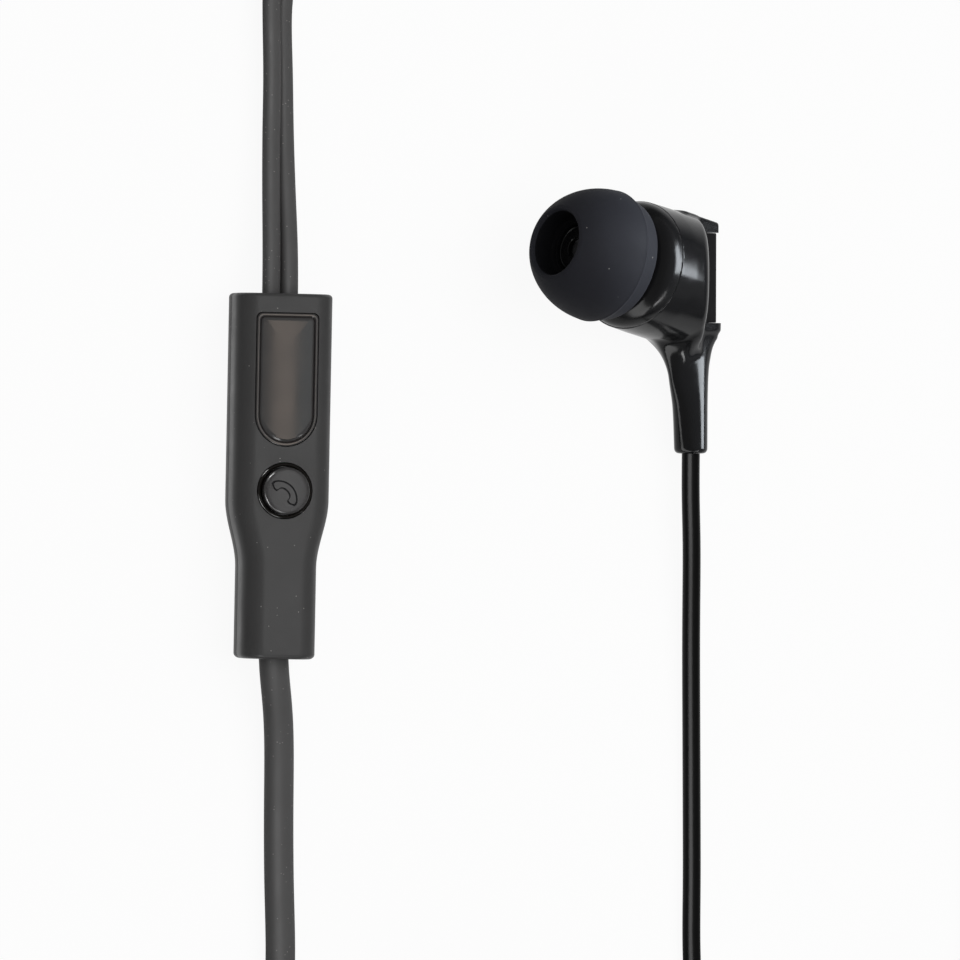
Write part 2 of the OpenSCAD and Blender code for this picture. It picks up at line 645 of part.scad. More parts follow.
// Round housing drawn in by two curved flanks, with the spine, the cap and the stem
module rear_housing_shape() {
    flank_x = tail_x - 9.46;
    flank_z = -5.76;
    spine_front = -3.2;
    difference() {
        union() {
            intersection() {
                drum_frame() cylinder(r = drum_r, h = 16, $fn = 96);
                for (s = [1]) translate([flank_x, -15, s * flank_z]) rotate([-90, 0, 0])
                    cylinder(r = flank_r, h = 30, $fn = 128);
                translate([flank_x, -15, -flank_z]) rotate([-90, 0, 0])
                    cylinder(r = flank_r, h = 30, $fn = 128);
            }
            difference() {
                spine_bar(spine_front, collar_back - 0.05, collar_hw - 0.02, 0.5, cover_y0 - 0.5, 6);
                above_slope();
            }
            stem_shape();
        }
        // Seat of the driver, the wire chamber behind it and the way down the stem
        drum_frame() translate([0, 0, -1]) cylinder(r = driver_r + 0.12, h = 1 + seat_z);
        drum_frame() cylinder(r = driver_r - 0.7, h = driver_z + driver_l + 0.3);
        drum_frame() cylinder(r = 2.2, h = driver_z + driver_l + 1.6);
        translate([0, -stem_l - 1, 0]) rotate([-90, 0, 0]) cylinder(r = bush_r + 0.03, h = bush_l + 1);
        translate([0, -stem_l, 0]) rotate([-90, 0, 0]) cylinder(r = 0.7, h = stem_l - 6.6);
        translate([0, -6.9, 0]) rotate([0, 0, 45]) rotate([-90, 0, 0]) cylinder(r = 0.6, h = 6.4);
        // Notch that the rear cover fills
        translate([cover_front - cover_gap, cover_y0, -5]) cube([6, cover_l + cover_gap, 10]);
    }
}

// Matt cover along the back of the spine
module rear_cover_shape() {
    spine_bar(cover_front, spine_back, spine_hw, 0.4, cover_y0 + cover_gap, cover_y1);
}

module cord_bush_shape() {
    translate([0, -stem_l, 0]) rotate([-90, 0, 0]) difference() {
        cylinder(r = bush_r, h = bush_l);
        translate([0, 0, -1]) cylinder(r = 0.5, h = bush_l + 2);
    }
}

module ear_tip(side) { color([0.16, 0.17, 0.19]) lie(side) nozzle_frame() ear_tip_shape(); }
module nozzle_mesh(side) { color([0.45, 0.45, 0.47]) lie(side) nozzle_frame() nozzle_mesh_shape(); }
module front_housing(side) { color([0.1, 0.1, 0.11]) lie(side) front_housing_shape(); }
module diaphragm(side) { color([0.75, 0.72, 0.6]) lie(side) diaphragm_shape(); }
module voice_coil(side) { color([0.72, 0.4, 0.2]) lie(side) voice_coil_shape(); }
module driver_frame(side) { color([0.55, 0.55, 0.57]) lie(side) driver_frame_shape(); }
module magnet(side) { color([0.62, 0.63, 0.66]) lie(side) magnet_shape(); }
module rear_housing(side) { color([0.09, 0.09, 0.1]) lie(side) rear_housing_shape(); }
module rear_cover(side) { color([0.17, 0.17, 0.18]) lie(side) rear_cover_shape(); }
module cord_bush(side) { color([0.06, 0.06, 0.06]) lie(side) cord_bush_shape(); }

// ---------------------------------------------------------------- cords and plug

module ear_cord(route) { color([0.13, 0.13, 0.13]) cord(route, ear_cord_r); }
module thick_cord(route) { color([0.14, 0.14, 0.14]) cord(route, main_cord_r); }

// One closed ring of a coil's section: a square of side w with rounded corners
module coil_ring(r, w, corner) {
    rotate_extrude($fn = 96) translate([r - w / 2, 0]) {
        translate([corner, 0]) square([w - 2 * corner, w]);
        translate([0, corner]) square([w, w - 2 * corner]);
        for (x = [corner, w - corner]) for (z = [corner, w - corner])
            translate([x, z]) circle(r = corner, $fn = 32);
    }
}

// Flat strap round a coil's bundle, bent with the coil
module strap(r, w, width) {
    turn = 180 * width / (PI * r);
    inner_w = w + 2 * cord_gap;
    rotate([0, 0, -turn / 2]) rotate_extrude(angle = turn, $fn = 96) difference() {
        translate([r - inner_w / 2 - tie_t, 0]) square([inner_w + 2 * tie_t, w + 2 * tie_t]);
        translate([r - inner_w / 2, tie_t]) square([inner_w, w]);
    }
}

module main_cord_coil() {
    color([0.14, 0.14, 0.14]) translate([coil_centre[0], coil_centre[1], coil_z0])
        coil_ring(coil_r, coil_bundle, 1.1);
}

module ear_cord_coil() {
    color([0.13, 0.13, 0.13]) translate([ear_coil_centre[0], ear_coil_centre[1], coil_z0])
        coil_ring(ear_coil_r, ear_coil_bundle, 0.7);
}

module main_coil_tie() {
    color([0.1, 0.1, 0.1]) translate([coil_centre[0], coil_centre[1], 0]) rotate([0, 0, 20])
        strap(coil_r, coil_bundle, tie_w);
}

module ear_coil_tie() {
    color([0.1, 0.1, 0.1]) translate([ear_coil_centre[0], ear_coil_centre[1], 0]) rotate([0, 0, 90])
        strap(ear_coil_r, ear_coil_bundle, ear_tie_w);
}

// Frame on the plug's axis, with Z pointing along it from the cord to the tip
module plug_frame() {
    translate([plug_x, plug_y, plug_body_r]) rotate([0, 90, 0]) children();
}

// Stretch of the contact pin between two distances from its root
module pin_stretch(from, to) {
    plug_frame() translate([0, 0, relief_l + plug_body_l + from]) cylinder(r = pin_r, h = to - from);
}

// Distances of the contacts along the pin
sleeve_end = 5.6;
ring_two_end = sleeve_end + band_w + 2;
ring_one_end = ring_two_end + band_w + 1.8;
tip_start = ring_one_end + band_w;
tip_land = 0.25;

module plug_strain_relief() {
    ribs = 4;
    pitch = (relief_l - 2.5) / ribs;
    color([0.12, 0.12, 0.12]) plug_frame() rotate_extrude() polygon(concat(
        [[0, 0], [main_cord_r + 0.35, 0], [main_cord_r + 0.5, 0.3]],
        [for (k = [0:ribs - 1]) let (z = 0.9 + pitch * k, r = main_cord_r + 0.55 + 0.12 * k)
            each [[r, z], [r - 0.25, z + 0.1], [r - 0.25, z + 0.45], [r + 0.05, z + 0.55]]],
        [[main_cord_r + 1.1, relief_l - 1], [main_cord_r + 1.1, relief_l], [0, relief_l]]
    ));
}

module plug_body() {
    nose = 1.2;
    color([0.11, 0.11, 0.11]) plug_frame() translate([0, 0, relief_l]) rotate_extrude() polygon(concat(
        [[0, 0]],
        [for (a = [-90:15:0]) [plug_body_r - 0.6 + 0.6 * cos(a), 0.6 + 0.6 * sin(a)]],
        [[plug_body_r, plug_body_l - nose - 1.4], [plug_body_r - 0.25, plug_body_l - nose],
         [plug_body_r - 0.45, plug_body_l - nose], [plug_body_r - 0.45, plug_body_l - 0.15],
         [plug_body_r - 0.6, plug_body_l], [0, plug_body_l]]
    ));
}

module plug_sleeve() { color([0.83, 0.69, 0.35]) pin_stretch(0, sleeve_end); }
module plug_ring_two() { color([0.83, 0.69, 0.35]) pin_stretch(sleeve_end + band_w, ring_two_end); }
module plug_ring_one() { color([0.83, 0.69, 0.35]) pin_stretch(ring_two_end + band_w, ring_one_end); }

module plug_tip() {
    l = pin_l - tip_start;
    color([0.83, 0.69, 0.35]) plug_frame() translate([0, 0, relief_l + plug_body_l + tip_start])
        rotate_extrude() polygon([
            [0, 0], [pin_r, 0], [pin_r, tip_land], [pin_r - 0.6, tip_land + 0.6],
            [pin_r - 0.6, tip_land + 0.8],
            [pin_r - 0.12, l - 1.45], [pin_r - 0.25, l - 1.05], [0.45, l - 0.12], [0.2, l], [0, l]
        ]);
}

// The three insulating bands between the contacts
module plug_bands() {
    color([0.05, 0.05, 0.05]) for (z = [sleeve_end, ring_two_end, ring_one_end])
        pin_stretch(z, z + band_w);
}

remote_front_shell();
remote_back_shell();
inlay_panel();
button_bezel();
call_button();
switch_plunger();
switch_body();
circuit_board();
microphone();
ear_cord_crimp();
main_cord_crimp();
ear_tip("right");  // right_ear_tip
nozzle_mesh("right");  // right_nozzle_mesh
front_housing("right");  // right_front_housing
diaphragm("right");  // right_diaphragm
voice_coil("right");  // right_voice_coil
driver_frame("right");  // right_driver_frame
magnet("right");  // right_magnet
rear_housing("right");  // right_rear_housing
rear_cover("right");  // right_rear_cover
cord_bush("right");  // right_cord_bush
ear_tip("left");  // left_ear_tip
nozzle_mesh("left");  // left_nozzle_mesh
front_housing("left");  // left_front_housing
diaphragm("left");  // left_diaphragm
voice_coil("left");  // left_voice_coil
driver_frame("left");  // left_driver_frame
magnet("left");  // left_magnet
rear_housing("left");  // left_rear_housing
rear_cover("left");  // left_rear_cover
cord_bush("left");  // left_cord_bush
ear_cord(right_route);  // right_ear_cord
ear_cord(right_end_route);  // right_ear_cord_end
ear_cord(left_route);  // left_ear_cord
ear_cord(left_end_route);  // left_ear_cord_end
ear_cord_coil();
ear_coil_tie();
thick_cord(main_route);  // main_cord
main_cord_coil();
thick_cord(tail_route);  // main_cord_tail
main_coil_tie();
plug_strain_relief();
plug_body();
plug_sleeve();
plug_ring_two();
plug_ring_one();
plug_tip();
plug_bands();
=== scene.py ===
import json
import math
import bpy
import bmesh
import numpy as np
from mathutils import Matrix, Vector

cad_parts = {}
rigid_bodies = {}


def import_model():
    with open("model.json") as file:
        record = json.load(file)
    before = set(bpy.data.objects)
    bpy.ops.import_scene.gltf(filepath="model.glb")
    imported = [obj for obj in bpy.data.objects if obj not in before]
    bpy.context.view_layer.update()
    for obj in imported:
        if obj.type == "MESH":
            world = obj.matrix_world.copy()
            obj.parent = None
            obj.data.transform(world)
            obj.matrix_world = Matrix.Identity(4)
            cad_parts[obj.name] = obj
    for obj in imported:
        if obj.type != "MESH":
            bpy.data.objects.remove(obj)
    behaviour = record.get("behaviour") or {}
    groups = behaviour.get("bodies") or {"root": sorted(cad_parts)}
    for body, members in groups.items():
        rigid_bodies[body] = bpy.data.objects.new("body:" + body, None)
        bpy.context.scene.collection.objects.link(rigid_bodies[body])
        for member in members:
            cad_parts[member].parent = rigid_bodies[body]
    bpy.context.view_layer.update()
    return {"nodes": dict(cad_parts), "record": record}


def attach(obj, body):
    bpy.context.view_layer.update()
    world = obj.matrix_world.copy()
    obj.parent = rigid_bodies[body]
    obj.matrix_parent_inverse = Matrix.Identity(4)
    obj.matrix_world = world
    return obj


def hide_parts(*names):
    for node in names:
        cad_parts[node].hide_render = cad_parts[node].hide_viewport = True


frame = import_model()
scene = bpy.context.scene
nodes = frame["nodes"]
MM = 0.001

# ------------------------------------------------------------------ camera
# The photograph looks down, from 14 degrees to the left of the vertical, with a long lens. The
# target, distance and width of view are in millimetres.
CAMERA_TILT, CAMERA_ROLL = math.radians(14.0), math.radians(1.1)
CAMERA_TARGET = (18.55, 0.01, 2.0)
CAMERA_DISTANCE, VIEW_WIDTH, SENSOR = 900, 84.2, 36

back = Vector((-math.sin(CAMERA_TILT), 0, math.cos(CAMERA_TILT)))
across = Vector((math.cos(CAMERA_TILT), 0, math.sin(CAMERA_TILT)))
ahead = Vector((0, 1, 0))
right = across * math.cos(CAMERA_ROLL) + ahead * math.sin(CAMERA_ROLL)
up = ahead * math.cos(CAMERA_ROLL) - across * math.sin(CAMERA_ROLL)
cam_data = bpy.data.cameras.new("camera")
cam_data.sensor_width = SENSOR
cam_data.lens = SENSOR * CAMERA_DISTANCE / VIEW_WIDTH
cam_data.clip_start, cam_data.clip_end = 0.05, 20
cam = bpy.data.objects.new("camera", cam_data)
scene.collection.objects.link(cam)
cam.matrix_world = Matrix((right, up, back)).transposed().to_4x4()
cam.location = Vector(CAMERA_TARGET) * MM + back * (CAMERA_DISTANCE * MM)
scene.camera = cam
scene.view_settings.view_transform = "Standard"


# ------------------------------------------------------------------ materials
MIX_FACTOR, MIX_A, MIX_B, MIX_RESULT = 0, 6, 7, 2
DUST = (0.22, 0.21, 0.20)
SMUDGE = 0.05
# The ear cords turn black between these places along x, in metres: painted shade on one grey
# jacket.
FADE_FROM, FADE_TO = 0.006, 0.034
CORD_SHADE_BLACK, CORD_GLOSS = (0.004, 0.004, 0.004), (0.3, 0.3, 0.3)


def new_material(name):
    m = bpy.data.materials.new(name)
    m.use_nodes = True
    return m, m.node_tree, m.node_tree.nodes["Principled BSDF"]


def node(t, kind, inputs=None, **settings):
    """A node with its settings, and with default values by the names of its inputs."""
    n = t.nodes.new(kind)
    for k, v in settings.items():
        setattr(n, k, v)
    for k, v in (inputs or {}).items():
        n.inputs[k].default_value = v
    return n


def math_node(t, operation, *terms):
    """Output of a Math node. Each term is a number or the output of another node."""
    n = node(t, "ShaderNodeMath", operation=operation)
    for socket, term in zip(n.inputs, terms):
        if isinstance(term, float):
            socket.default_value = term
        else:
            t.links.new(term, socket)
    return n.outputs[0]


def colour_mix(t, a, b, fac):
    """A colour between a and b, each a colour or the output of another node."""
    n = node(t, "ShaderNodeMix", data_type="RGBA")
    t.links.new(fac, n.inputs[MIX_FACTOR])
    for i, v in ((MIX_A, a), (MIX_B, b)):
        if isinstance(v, tuple):
            n.inputs[i].default_value = (*v, 1)
        else:
            t.links.new(v, n.inputs[i])
    return n.outputs[MIX_RESULT]


def ramp(t, fac, stops, interpolation="LINEAR"):
    """Greys at places along a value."""
    n = node(t, "ShaderNodeValToRGB")
    n.color_ramp.interpolation = interpolation
    e = n.color_ramp.elements
    while len(e) < len(stops):
        e.new(0.5)
    for el, (place, grey) in zip(e, stops):
        el.position = place
        el.color = (grey, grey, grey, 1)
    t.links.new(fac, n.inputs[0])
    return n.outputs[0]


def coords(t, scale=(1, 1, 1)):
    """Object coordinates in metres, with a stretch along each axis."""
    c = node(t, "ShaderNodeTexCoord")
    m = node(t, "ShaderNodeMapping", {"Scale": scale})
    t.links.new(c.outputs["Object"], m.inputs["Vector"])
    return m.outputs[0]


def noise(t, vec, scale, detail, rough=0.5):
    n = node(t, "ShaderNodeTexNoise", {"Scale": scale, "Detail": detail, "Roughness": rough})
    t.links.new(vec, n.inputs["Vector"])
    return n.outputs[0]


def bump(t, b, height, strength, distance):
    n = node(t, "ShaderNodeBump", {"Strength": strength, "Distance": distance})
    t.links.new(height, n.inputs["Height"])
    t.links.new(n.outputs[0], b.inputs["Normal"])


def specks(t, vec, scale, size, share):
    """1 inside small round specks, of which a share of the cells has one."""
    v = node(t, "ShaderNodeTexVoronoi", {"Scale": scale})
    t.links.new(vec, v.inputs["Vector"])
    pick = node(t, "ShaderNodeSeparateColor")
    t.links.new(v.outputs["Color"], pick.inputs[0])
    near = math_node(t, "LESS_THAN", v.outputs["Distance"], size)
    few = math_node(t, "LESS_THAN", pick.outputs[0], share)
    return math_node(t, "MULTIPLY", near, few)


def plastic(name, colour, rough, grain=0.0, vary=0.06, dust=0.0, spec=0.5):
    """Moulded plastic: faint mottling, an optional fine grain and a few specks of dust."""
    m, t, b = new_material(name)
    vec = coords(t)
    light = tuple(c * (1 + vary) + 0.002 for c in colour)
    dark = tuple(c * (1 - vary) for c in colour)
    base = colour_mix(t, dark, light, noise(t, vec, 260, 4))
    if dust:
        base = colour_mix(t, base, DUST, specks(t, vec, 4200, 0.2, dust))
    t.links.new(base, b.inputs["Base Color"])
    smudges = ramp(t, noise(t, vec, 420, 5, 0.6), [(0.3, rough - SMUDGE), (0.7, rough + SMUDGE)])
    t.links.new(smudges, b.inputs["Roughness"])
    b.inputs["Specular IOR Level"].default_value = spec
    if grain:
        bump(t, b, noise(t, vec, 9000, 2), grain, 0.00002)
    return m


def metal(name, colour, rough, stretch=(1, 1, 1), scale=2500):
    """Metal with a fine grain in its colour and gloss, stretched where it was turned."""
    m, t, b = new_material(name)
    b.inputs["Metallic"].default_value = 1
    grain = noise(t, coords(t, stretch), scale, 4)
    dark = tuple(c * 0.88 for c in colour)
    t.links.new(colour_mix(t, dark, colour, grain), b.inputs["Base Color"])
    gloss = ramp(t, grain, [(0.3, rough * 0.8), (0.7, rough * 1.3)])
    t.links.new(gloss, b.inputs["Roughness"])
    return m


def cord_material(name, fades):
    """Soft grey jacket with dust. The ear cords' one turns glossy, and black by painted shade,
    towards the earbuds.
    """
    m = plastic(name, (0.080, 0.079, 0.079), 0.5, grain=0.2, dust=0.1, spec=0.1)
    if not fades:
        return m
    t = m.node_tree
    b = t.nodes["Principled BSDF"]
    c = node(t, "ShaderNodeTexCoord")
    place = node(t, "ShaderNodeSeparateXYZ")
    t.links.new(c.outputs["Object"], place.inputs[0])
    share = node(t, "ShaderNodeMapRange", {"From Min": FADE_FROM, "From Max": FADE_TO},
                 interpolation_type="SMOOTHSTEP")
    t.links.new(place.outputs[0], share.inputs["Value"])
    # Painted shade: the base colour darkens to black towards the earbuds, and the roughness turns
    # glossy.
    for entry, value in (("Base Color", CORD_SHADE_BLACK), ("Roughness", CORD_GLOSS)):
        before = b.inputs[entry].links[0].from_socket
        t.links.new(colour_mix(t, before, value, share.outputs[0]), b.inputs[entry])
    return m


def strap_material():
    """The woven strap of the coils' ties."""
    m, t, b = new_material("tie_strap")
    w = node(t, "ShaderNodeTexWave", {"Scale": 900, "Distortion": 1})
    t.links.new(coords(t), w.inputs["Vector"])
    weave = w.outputs["Fac"]
    base = colour_mix(t, (0.012, 0.012, 0.012), (0.03, 0.03, 0.03), weave)
    t.links.new(base, b.inputs["Base Color"])
    b.inputs["Roughness"].default_value = 0.85
    bump(t, b, weave, 0.4, 0.00005)
    return m


PLASTICS = (
    ("remote_grey", (0.046, 0.0455, 0.0455), 0.40, dict(grain=0.25, dust=0.02, spec=0.25)),
    ("panel_brown", (0.048, 0.047, 0.047), 0.16, dict(spec=0.3)),
    ("button_grey", (0.040, 0.0385, 0.039), 0.25, dict(grain=0.1, spec=0.3)),
    ("gloss_black", (0.006, 0.006, 0.0065), 0.14, dict(vary=0.1, spec=0.18)),
    ("gloss_black_front", (0.006, 0.006, 0.0065), 0.2, dict(vary=0.1, spec=0.18)),
    ("matt_black", (0.012, 0.012, 0.013), 0.6, dict(grain=0.3, spec=0.08)),
    ("panel_rib", (0.046, 0.045, 0.045), 0.15, {}),
    # Painted shade: the dark gloss of the panel's gap and groove and of the cap's side in its
    # ring.
    ("painted_shade_gloss", (0.022, 0.020, 0.020), 0.2, {}),
    ("well_bronze", (0.005, 0.004, 0.003), 0.15, dict(vary=0.3, spec=0.25)),
    # tip_core is nearly black, as dark as the shade in the tip's mouth: painted shade.
    ("tip_core", (0.005, 0.005, 0.006), 0.6, dict(grain=0.1, spec=0.05)),
    ("tip_silicone", (0.0185, 0.0190, 0.0235), 0.65, dict(grain=0.12, dust=0.012, spec=0.08)),
    ("plunger_plastic", (0.5, 0.2, 0.07), 0.4, {}),
    ("board_laminate", (0.02, 0.12, 0.05), 0.3, {}),
    ("film", (0.6, 0.52, 0.36), 0.25, {}),
    ("band_plastic", (0.015, 0.015, 0.015), 0.3, {}),
)
METALS = (
    ("mesh_steel", (0.10, 0.10, 0.105), 0.45, dict(scale=9000)),
    ("plated_metal", (0.72, 0.71, 0.69), 0.25, {}),
    ("copper_wire", (0.66, 0.30, 0.14), 0.3, {}),
    ("driver_steel", (0.55, 0.55, 0.57), 0.3, {}),
    ("contact_gold", (0.83, 0.62, 0.27), 0.16, dict(stretch=(1, 12, 12), scale=600)),
)
M = {name: plastic(name, colour, rough, **more) for name, colour, rough, more in PLASTICS}
M["cord_jacket"] = cord_material("cord_jacket", fades=True)
M["main_jacket"] = cord_material("main_jacket", fades=False)
for name, colour, rough, more in METALS:
    M[name] = metal(name, colour, rough, **more)
M["tie_strap"] = strap_material()
slot_of = {s["node"]: s["material_slot"] for s in frame["record"]["subparts"]}


# ------------------------------------------------------------------ mesh helpers
def mesh_object(name, verts, faces, material, smooth=True, angle=35):
    """A mesh from points in millimetres in the shared frame."""
    me = bpy.data.meshes.new(name)
    me.from_pydata([tuple(float(c) * MM for c in v) for v in verts], [],
                   [tuple(int(i) for i in f) for f in faces])
    me.validate()
    ob = bpy.data.objects.new(name, me)
    scene.collection.objects.link(ob)
    me.materials.append(material)
    finish_shading(ob, smooth, angle)
    return ob


def finish_shading(ob, smooth, angle):
    """Smooth faces, with the edges sharper than the angle in degrees kept sharp."""
    me = ob.data
    me.polygons.foreach_set("use_smooth", [smooth] * len(me.polygons))
    if smooth and angle < 180:
        bm = bmesh.new()
        bm.from_mesh(me)
        limit = math.radians(angle)
        for e in bm.edges:
            e.smooth = not (len(e.link_faces) != 2 or e.calc_face_angle(0) > limit)
        bm.to_mesh(me)
        bm.free()
    me.update()


def put(verts, m):
    """Points in millimetres moved by a 4x4 matrix in millimetres."""
    v = np.asarray(verts, float)
    return v @ m[:3, :3].T + m[:3, 3]


def turned(axis, degrees):
    return np.array(Matrix.Rotation(math.radians(degrees), 4, axis), float)


def moved(*v):
    m = np.eye(4)
    m[:3, 3] = v
    return m


def lathe(profile, segments=128, closed=False):
    """Points and faces of (radius, height) pairs turned about Z. Radius 0 at an end closes it."""
    verts, faces, rows = [], [], []
    for r, z in profile:
        if r <= 1e-9:
            rows.append([len(verts)])
            verts.append((0, 0, z))
        else:
            rows.append(list(range(len(verts), len(verts) + segments)))
            for k in range(segments):
                a = 2 * math.pi * k / segments
                verts.append((r * math.cos(a), r * math.sin(a), z))
    pairs = list(zip(rows, rows[1:]))
    if closed:
        pairs.append((rows[-1], rows[0]))
    for a, b in pairs:
        for k in range(segments):
            j = (k + 1) % segments
            if len(a) == 1 and len(b) == 1:
                continue
            if len(a) == 1:
                faces.append((a[0], b[j], b[k]))
            elif len(b) == 1:
                faces.append((a[k], a[j], b[0]))
            else:
                faces.append((a[k], a[j], b[j], b[k]))
    return np.array(verts), faces


def arc(cx, cz, r, a0, a1, n=8):
    """Points round a centre, from one angle in degrees to another."""
    return [(cx + r * math.cos(math.radians(a0 + (a1 - a0) * k / n)),
             cz + r * math.sin(math.radians(a0 + (a1 - a0) * k / n))) for k in range(n + 1)]


def lathed(name, profile, m, material, closed=False, angle=35):
    """A turned piece, put in place by a matrix that may mirror it."""
    v, f = lathe(profile, closed=closed)
    if np.linalg.det(m[:3, :3]) < 0:
        f = [tuple(reversed(q)) for q in f]
    ob = mesh_object(name, put(v, m), f, material, angle=angle)
    outward(ob)
    return ob


def outward(ob):
    """Turns the faces of a closed mesh outward."""
    bm = bmesh.new()
    bm.from_mesh(ob.data)
    bmesh.ops.recalc_face_normals(bm, faces=bm.faces)
    bm.to_mesh(ob.data)
    bm.free()


def skin(rings):
    """Closed surface through rings of equal length."""
    n, m = len(rings[0]), len(rings)
    verts = np.concatenate([np.asarray(r, float) for r in rings])
    faces = [(i * n + k, i * n + (k + 1) % n, (i + 1) * n + (k + 1) % n, (i + 1) * n + k)
             for i in range(m - 1) for k in range(n)]
    faces.append(tuple(range(n - 1, -1, -1)))
    faces.append(tuple((m - 1) * n + k for k in range(n)))
    return verts, faces


def prism(outline, z0, z1):
    """Closed surface of an outline between two heights."""
    return skin([[(x, y, z0) for x, y in outline], [(x, y, z1) for x, y in outline]])


def cut(ob, cutters, angle=35):
    """Takes the cutters out of a mesh, which keeps its one material."""
    for c in cutters:
        mod = ob.modifiers.new("cut", "BOOLEAN")
        mod.operation = "DIFFERENCE"
        mod.solver = "EXACT"
        mod.object = c
    bpy.context.view_layer.update()
    dg = bpy.context.evaluated_depsgraph_get()
    me = bpy.data.meshes.new_from_object(ob.evaluated_get(dg))
    ob.modifiers.clear()
    old = ob.data
    ob.data = me
    bpy.data.meshes.remove(old)
    for c in cutters:
        bpy.data.objects.remove(c)
    while len(me.materials) > 1:
        me.materials.pop()
    finish_shading(ob, True, angle)
    return ob


def tool(verts, faces):
    """A closed mesh used only as a cutter."""
    ob = mesh_object("cutter", verts, faces, M["matt_black"], smooth=False)
    outward(ob)
    return ob


def joined(name, parts):
    """One mesh from several, in the material of the first."""
    bm = bmesh.new()
    for p in parts:
        bm.from_mesh(p.data)
    me = bpy.data.meshes.new(name)
    bm.to_mesh(me)
    bm.free()
    ob = bpy.data.objects.new(name, me)
    scene.collection.objects.link(ob)
    me.materials.append(parts[0].data.materials[0])
    for p in parts:
        bpy.data.objects.remove(p)
    return ob


def dress(ob, body, *cad_nodes, slot):
    """The piece rides on a body and stands for CAD nodes. Its slot is not used."""
    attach(ob, body)
    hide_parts(*cad_nodes)


# ------------------------------------------------------------------ cords
EAR_R, MAIN_R = 0.8, 1.3
MAIN_PITCH = 2 * MAIN_R
COIL_LIFT = 0.3
# The two turns of the ear cords beside each other, clockwise, with the angle where each leaves.
EAR_COIL = (56.85, -54.5)
RIGHT_TURN_R, RIGHT_LEAVES = 8.2, 495
LEFT_TURN_R, LEFT_LEAVES = 9.8, 450
CLIMB_FROM, CLIMB_OVER = 235, 77
# The main cord's bundle, with its places as (outward, up), in the order in which it fills them.
MAIN_COIL, MAIN_TURN_R = (14.6, -66.0), 14.9
MAIN_PLACES = [(2, 0), (1, 0), (0, 0), (0, 1), (0, 2), (1, 2), (1, 1), (2, 1), (2, 2)]
LAST_PLACE = len(MAIN_PLACES) - 1
LAST_CHANGE, CHANGE_STEP, CHANGE_OVER = 95, 33, 30


def smooth_line(points, step=0.7):
    """A curve through the points, resampled at even steps."""
    p = np.asarray(points, float)
    p = np.vstack([2 * p[0] - p[1], p, 2 * p[-1] - p[-2]])
    out = []
    for i in range(1, len(p) - 2):
        a, b, c, d = p[i - 1:i + 3]
        t0, t1 = 0, np.linalg.norm(b - a) ** 0.5
        t2 = t1 + np.linalg.norm(c - b) ** 0.5
        t3 = t2 + np.linalg.norm(d - c) ** 0.5
        n = max(2, int(np.linalg.norm(c - b) / 0.25))
        for t in np.linspace(t1, t2, n, endpoint=False):
            a1 = (t1 - t) / (t1 - t0) * a + (t - t0) / (t1 - t0) * b
            a2 = (t2 - t) / (t2 - t1) * b + (t - t1) / (t2 - t1) * c
            a3 = (t3 - t) / (t3 - t2) * c + (t - t2) / (t3 - t2) * d
            b1 = (t2 - t) / (t2 - t0) * a1 + (t - t0) / (t2 - t0) * a2
            b2 = (t3 - t) / (t3 - t1) * a2 + (t - t1) / (t3 - t1) * a3
            out.append((t2 - t) / (t2 - t1) * b1 + (t - t1) / (t2 - t1) * b2)
    out.append(p[-2])
    out = np.array(out)
    s = np.concatenate([[0], np.cumsum(np.linalg.norm(np.diff(out, axis=0), axis=1))])
    n = int(s[-1] / step) + 1
    at = np.linspace(0, s[-1], n)
    return np.stack([np.interp(at, s, out[:, k]) for k in range(3)], 1)


def relaxed(line, times=10):
    """Evens out the small kinks where two stretches meet, and keeps both ends."""
    line = line.copy()
    for _ in range(times):
        line[2:-2] = (line[1:-3] + 2 * line[2:-2] + line[3:-1]) / 4
    return line


def tube(name, line, r, material, sides=6):
    """A cord as a curve with its thickness."""
    cu = bpy.data.curves.new(name, "CURVE")
    cu.dimensions = "3D"
    cu.bevel_depth = r * MM
    cu.bevel_resolution = sides
    cu.use_fill_caps = True
    sp = cu.splines.new("POLY")
    sp.points.add(len(line) - 1)
    for q, p in zip(sp.points, line):
        q.co = (p[0] * MM, p[1] * MM, p[2] * MM, 1)
    sp.use_smooth = True
    cu.materials.append(material)
    ob = bpy.data.objects.new(name, cu)
    scene.collection.objects.link(ob)
    return ob


def ease(t):
    """0 below 0, 1 above 1 and a soft step between them."""
    t = min(1.0, max(0.0, t))
    return t * t * (3 - 2 * t)


def ear_turns(r, last):
    """A stretch of an ear cord in the coil: clockwise from 0 degrees to the last angle."""
    out = []
    for a in np.arange(-4, -last - 0.1, -4):
        z = COIL_LIFT + EAR_R + 2 * EAR_R * ease((-a - CLIMB_FROM) / CLIMB_OVER)
        w = math.radians(a)
        out.append((EAR_COIL[0] + r * math.cos(w), EAR_COIL[1] + r * math.sin(w), z))
    return out


def main_turns():
    """The main cord in its coil. Each change of place starts a little earlier in its turn."""
    out = []
    for total in np.arange(0, LAST_PLACE * 360 + 90.1, 4):
        k, a = int(total // 360), total % 360
        c = np.array(MAIN_PLACES[min(k, LAST_PLACE)], float)
        if k < LAST_PLACE:
            start = LAST_CHANGE + CHANGE_STEP * (LAST_PLACE - 1 - k)
            c = c + (np.array(MAIN_PLACES[k + 1]) - c) * ease((a - start) / CHANGE_OVER)
        r = MAIN_TURN_R + (c[0] - 1) * MAIN_PITCH
        z = COIL_LIFT + MAIN_R + MAIN_PITCH * c[1]
        w = math.radians(180 + a)
        out.append((MAIN_COIL[0] + r * math.cos(w), MAIN_COIL[1] + r * math.sin(w), z))
    return out
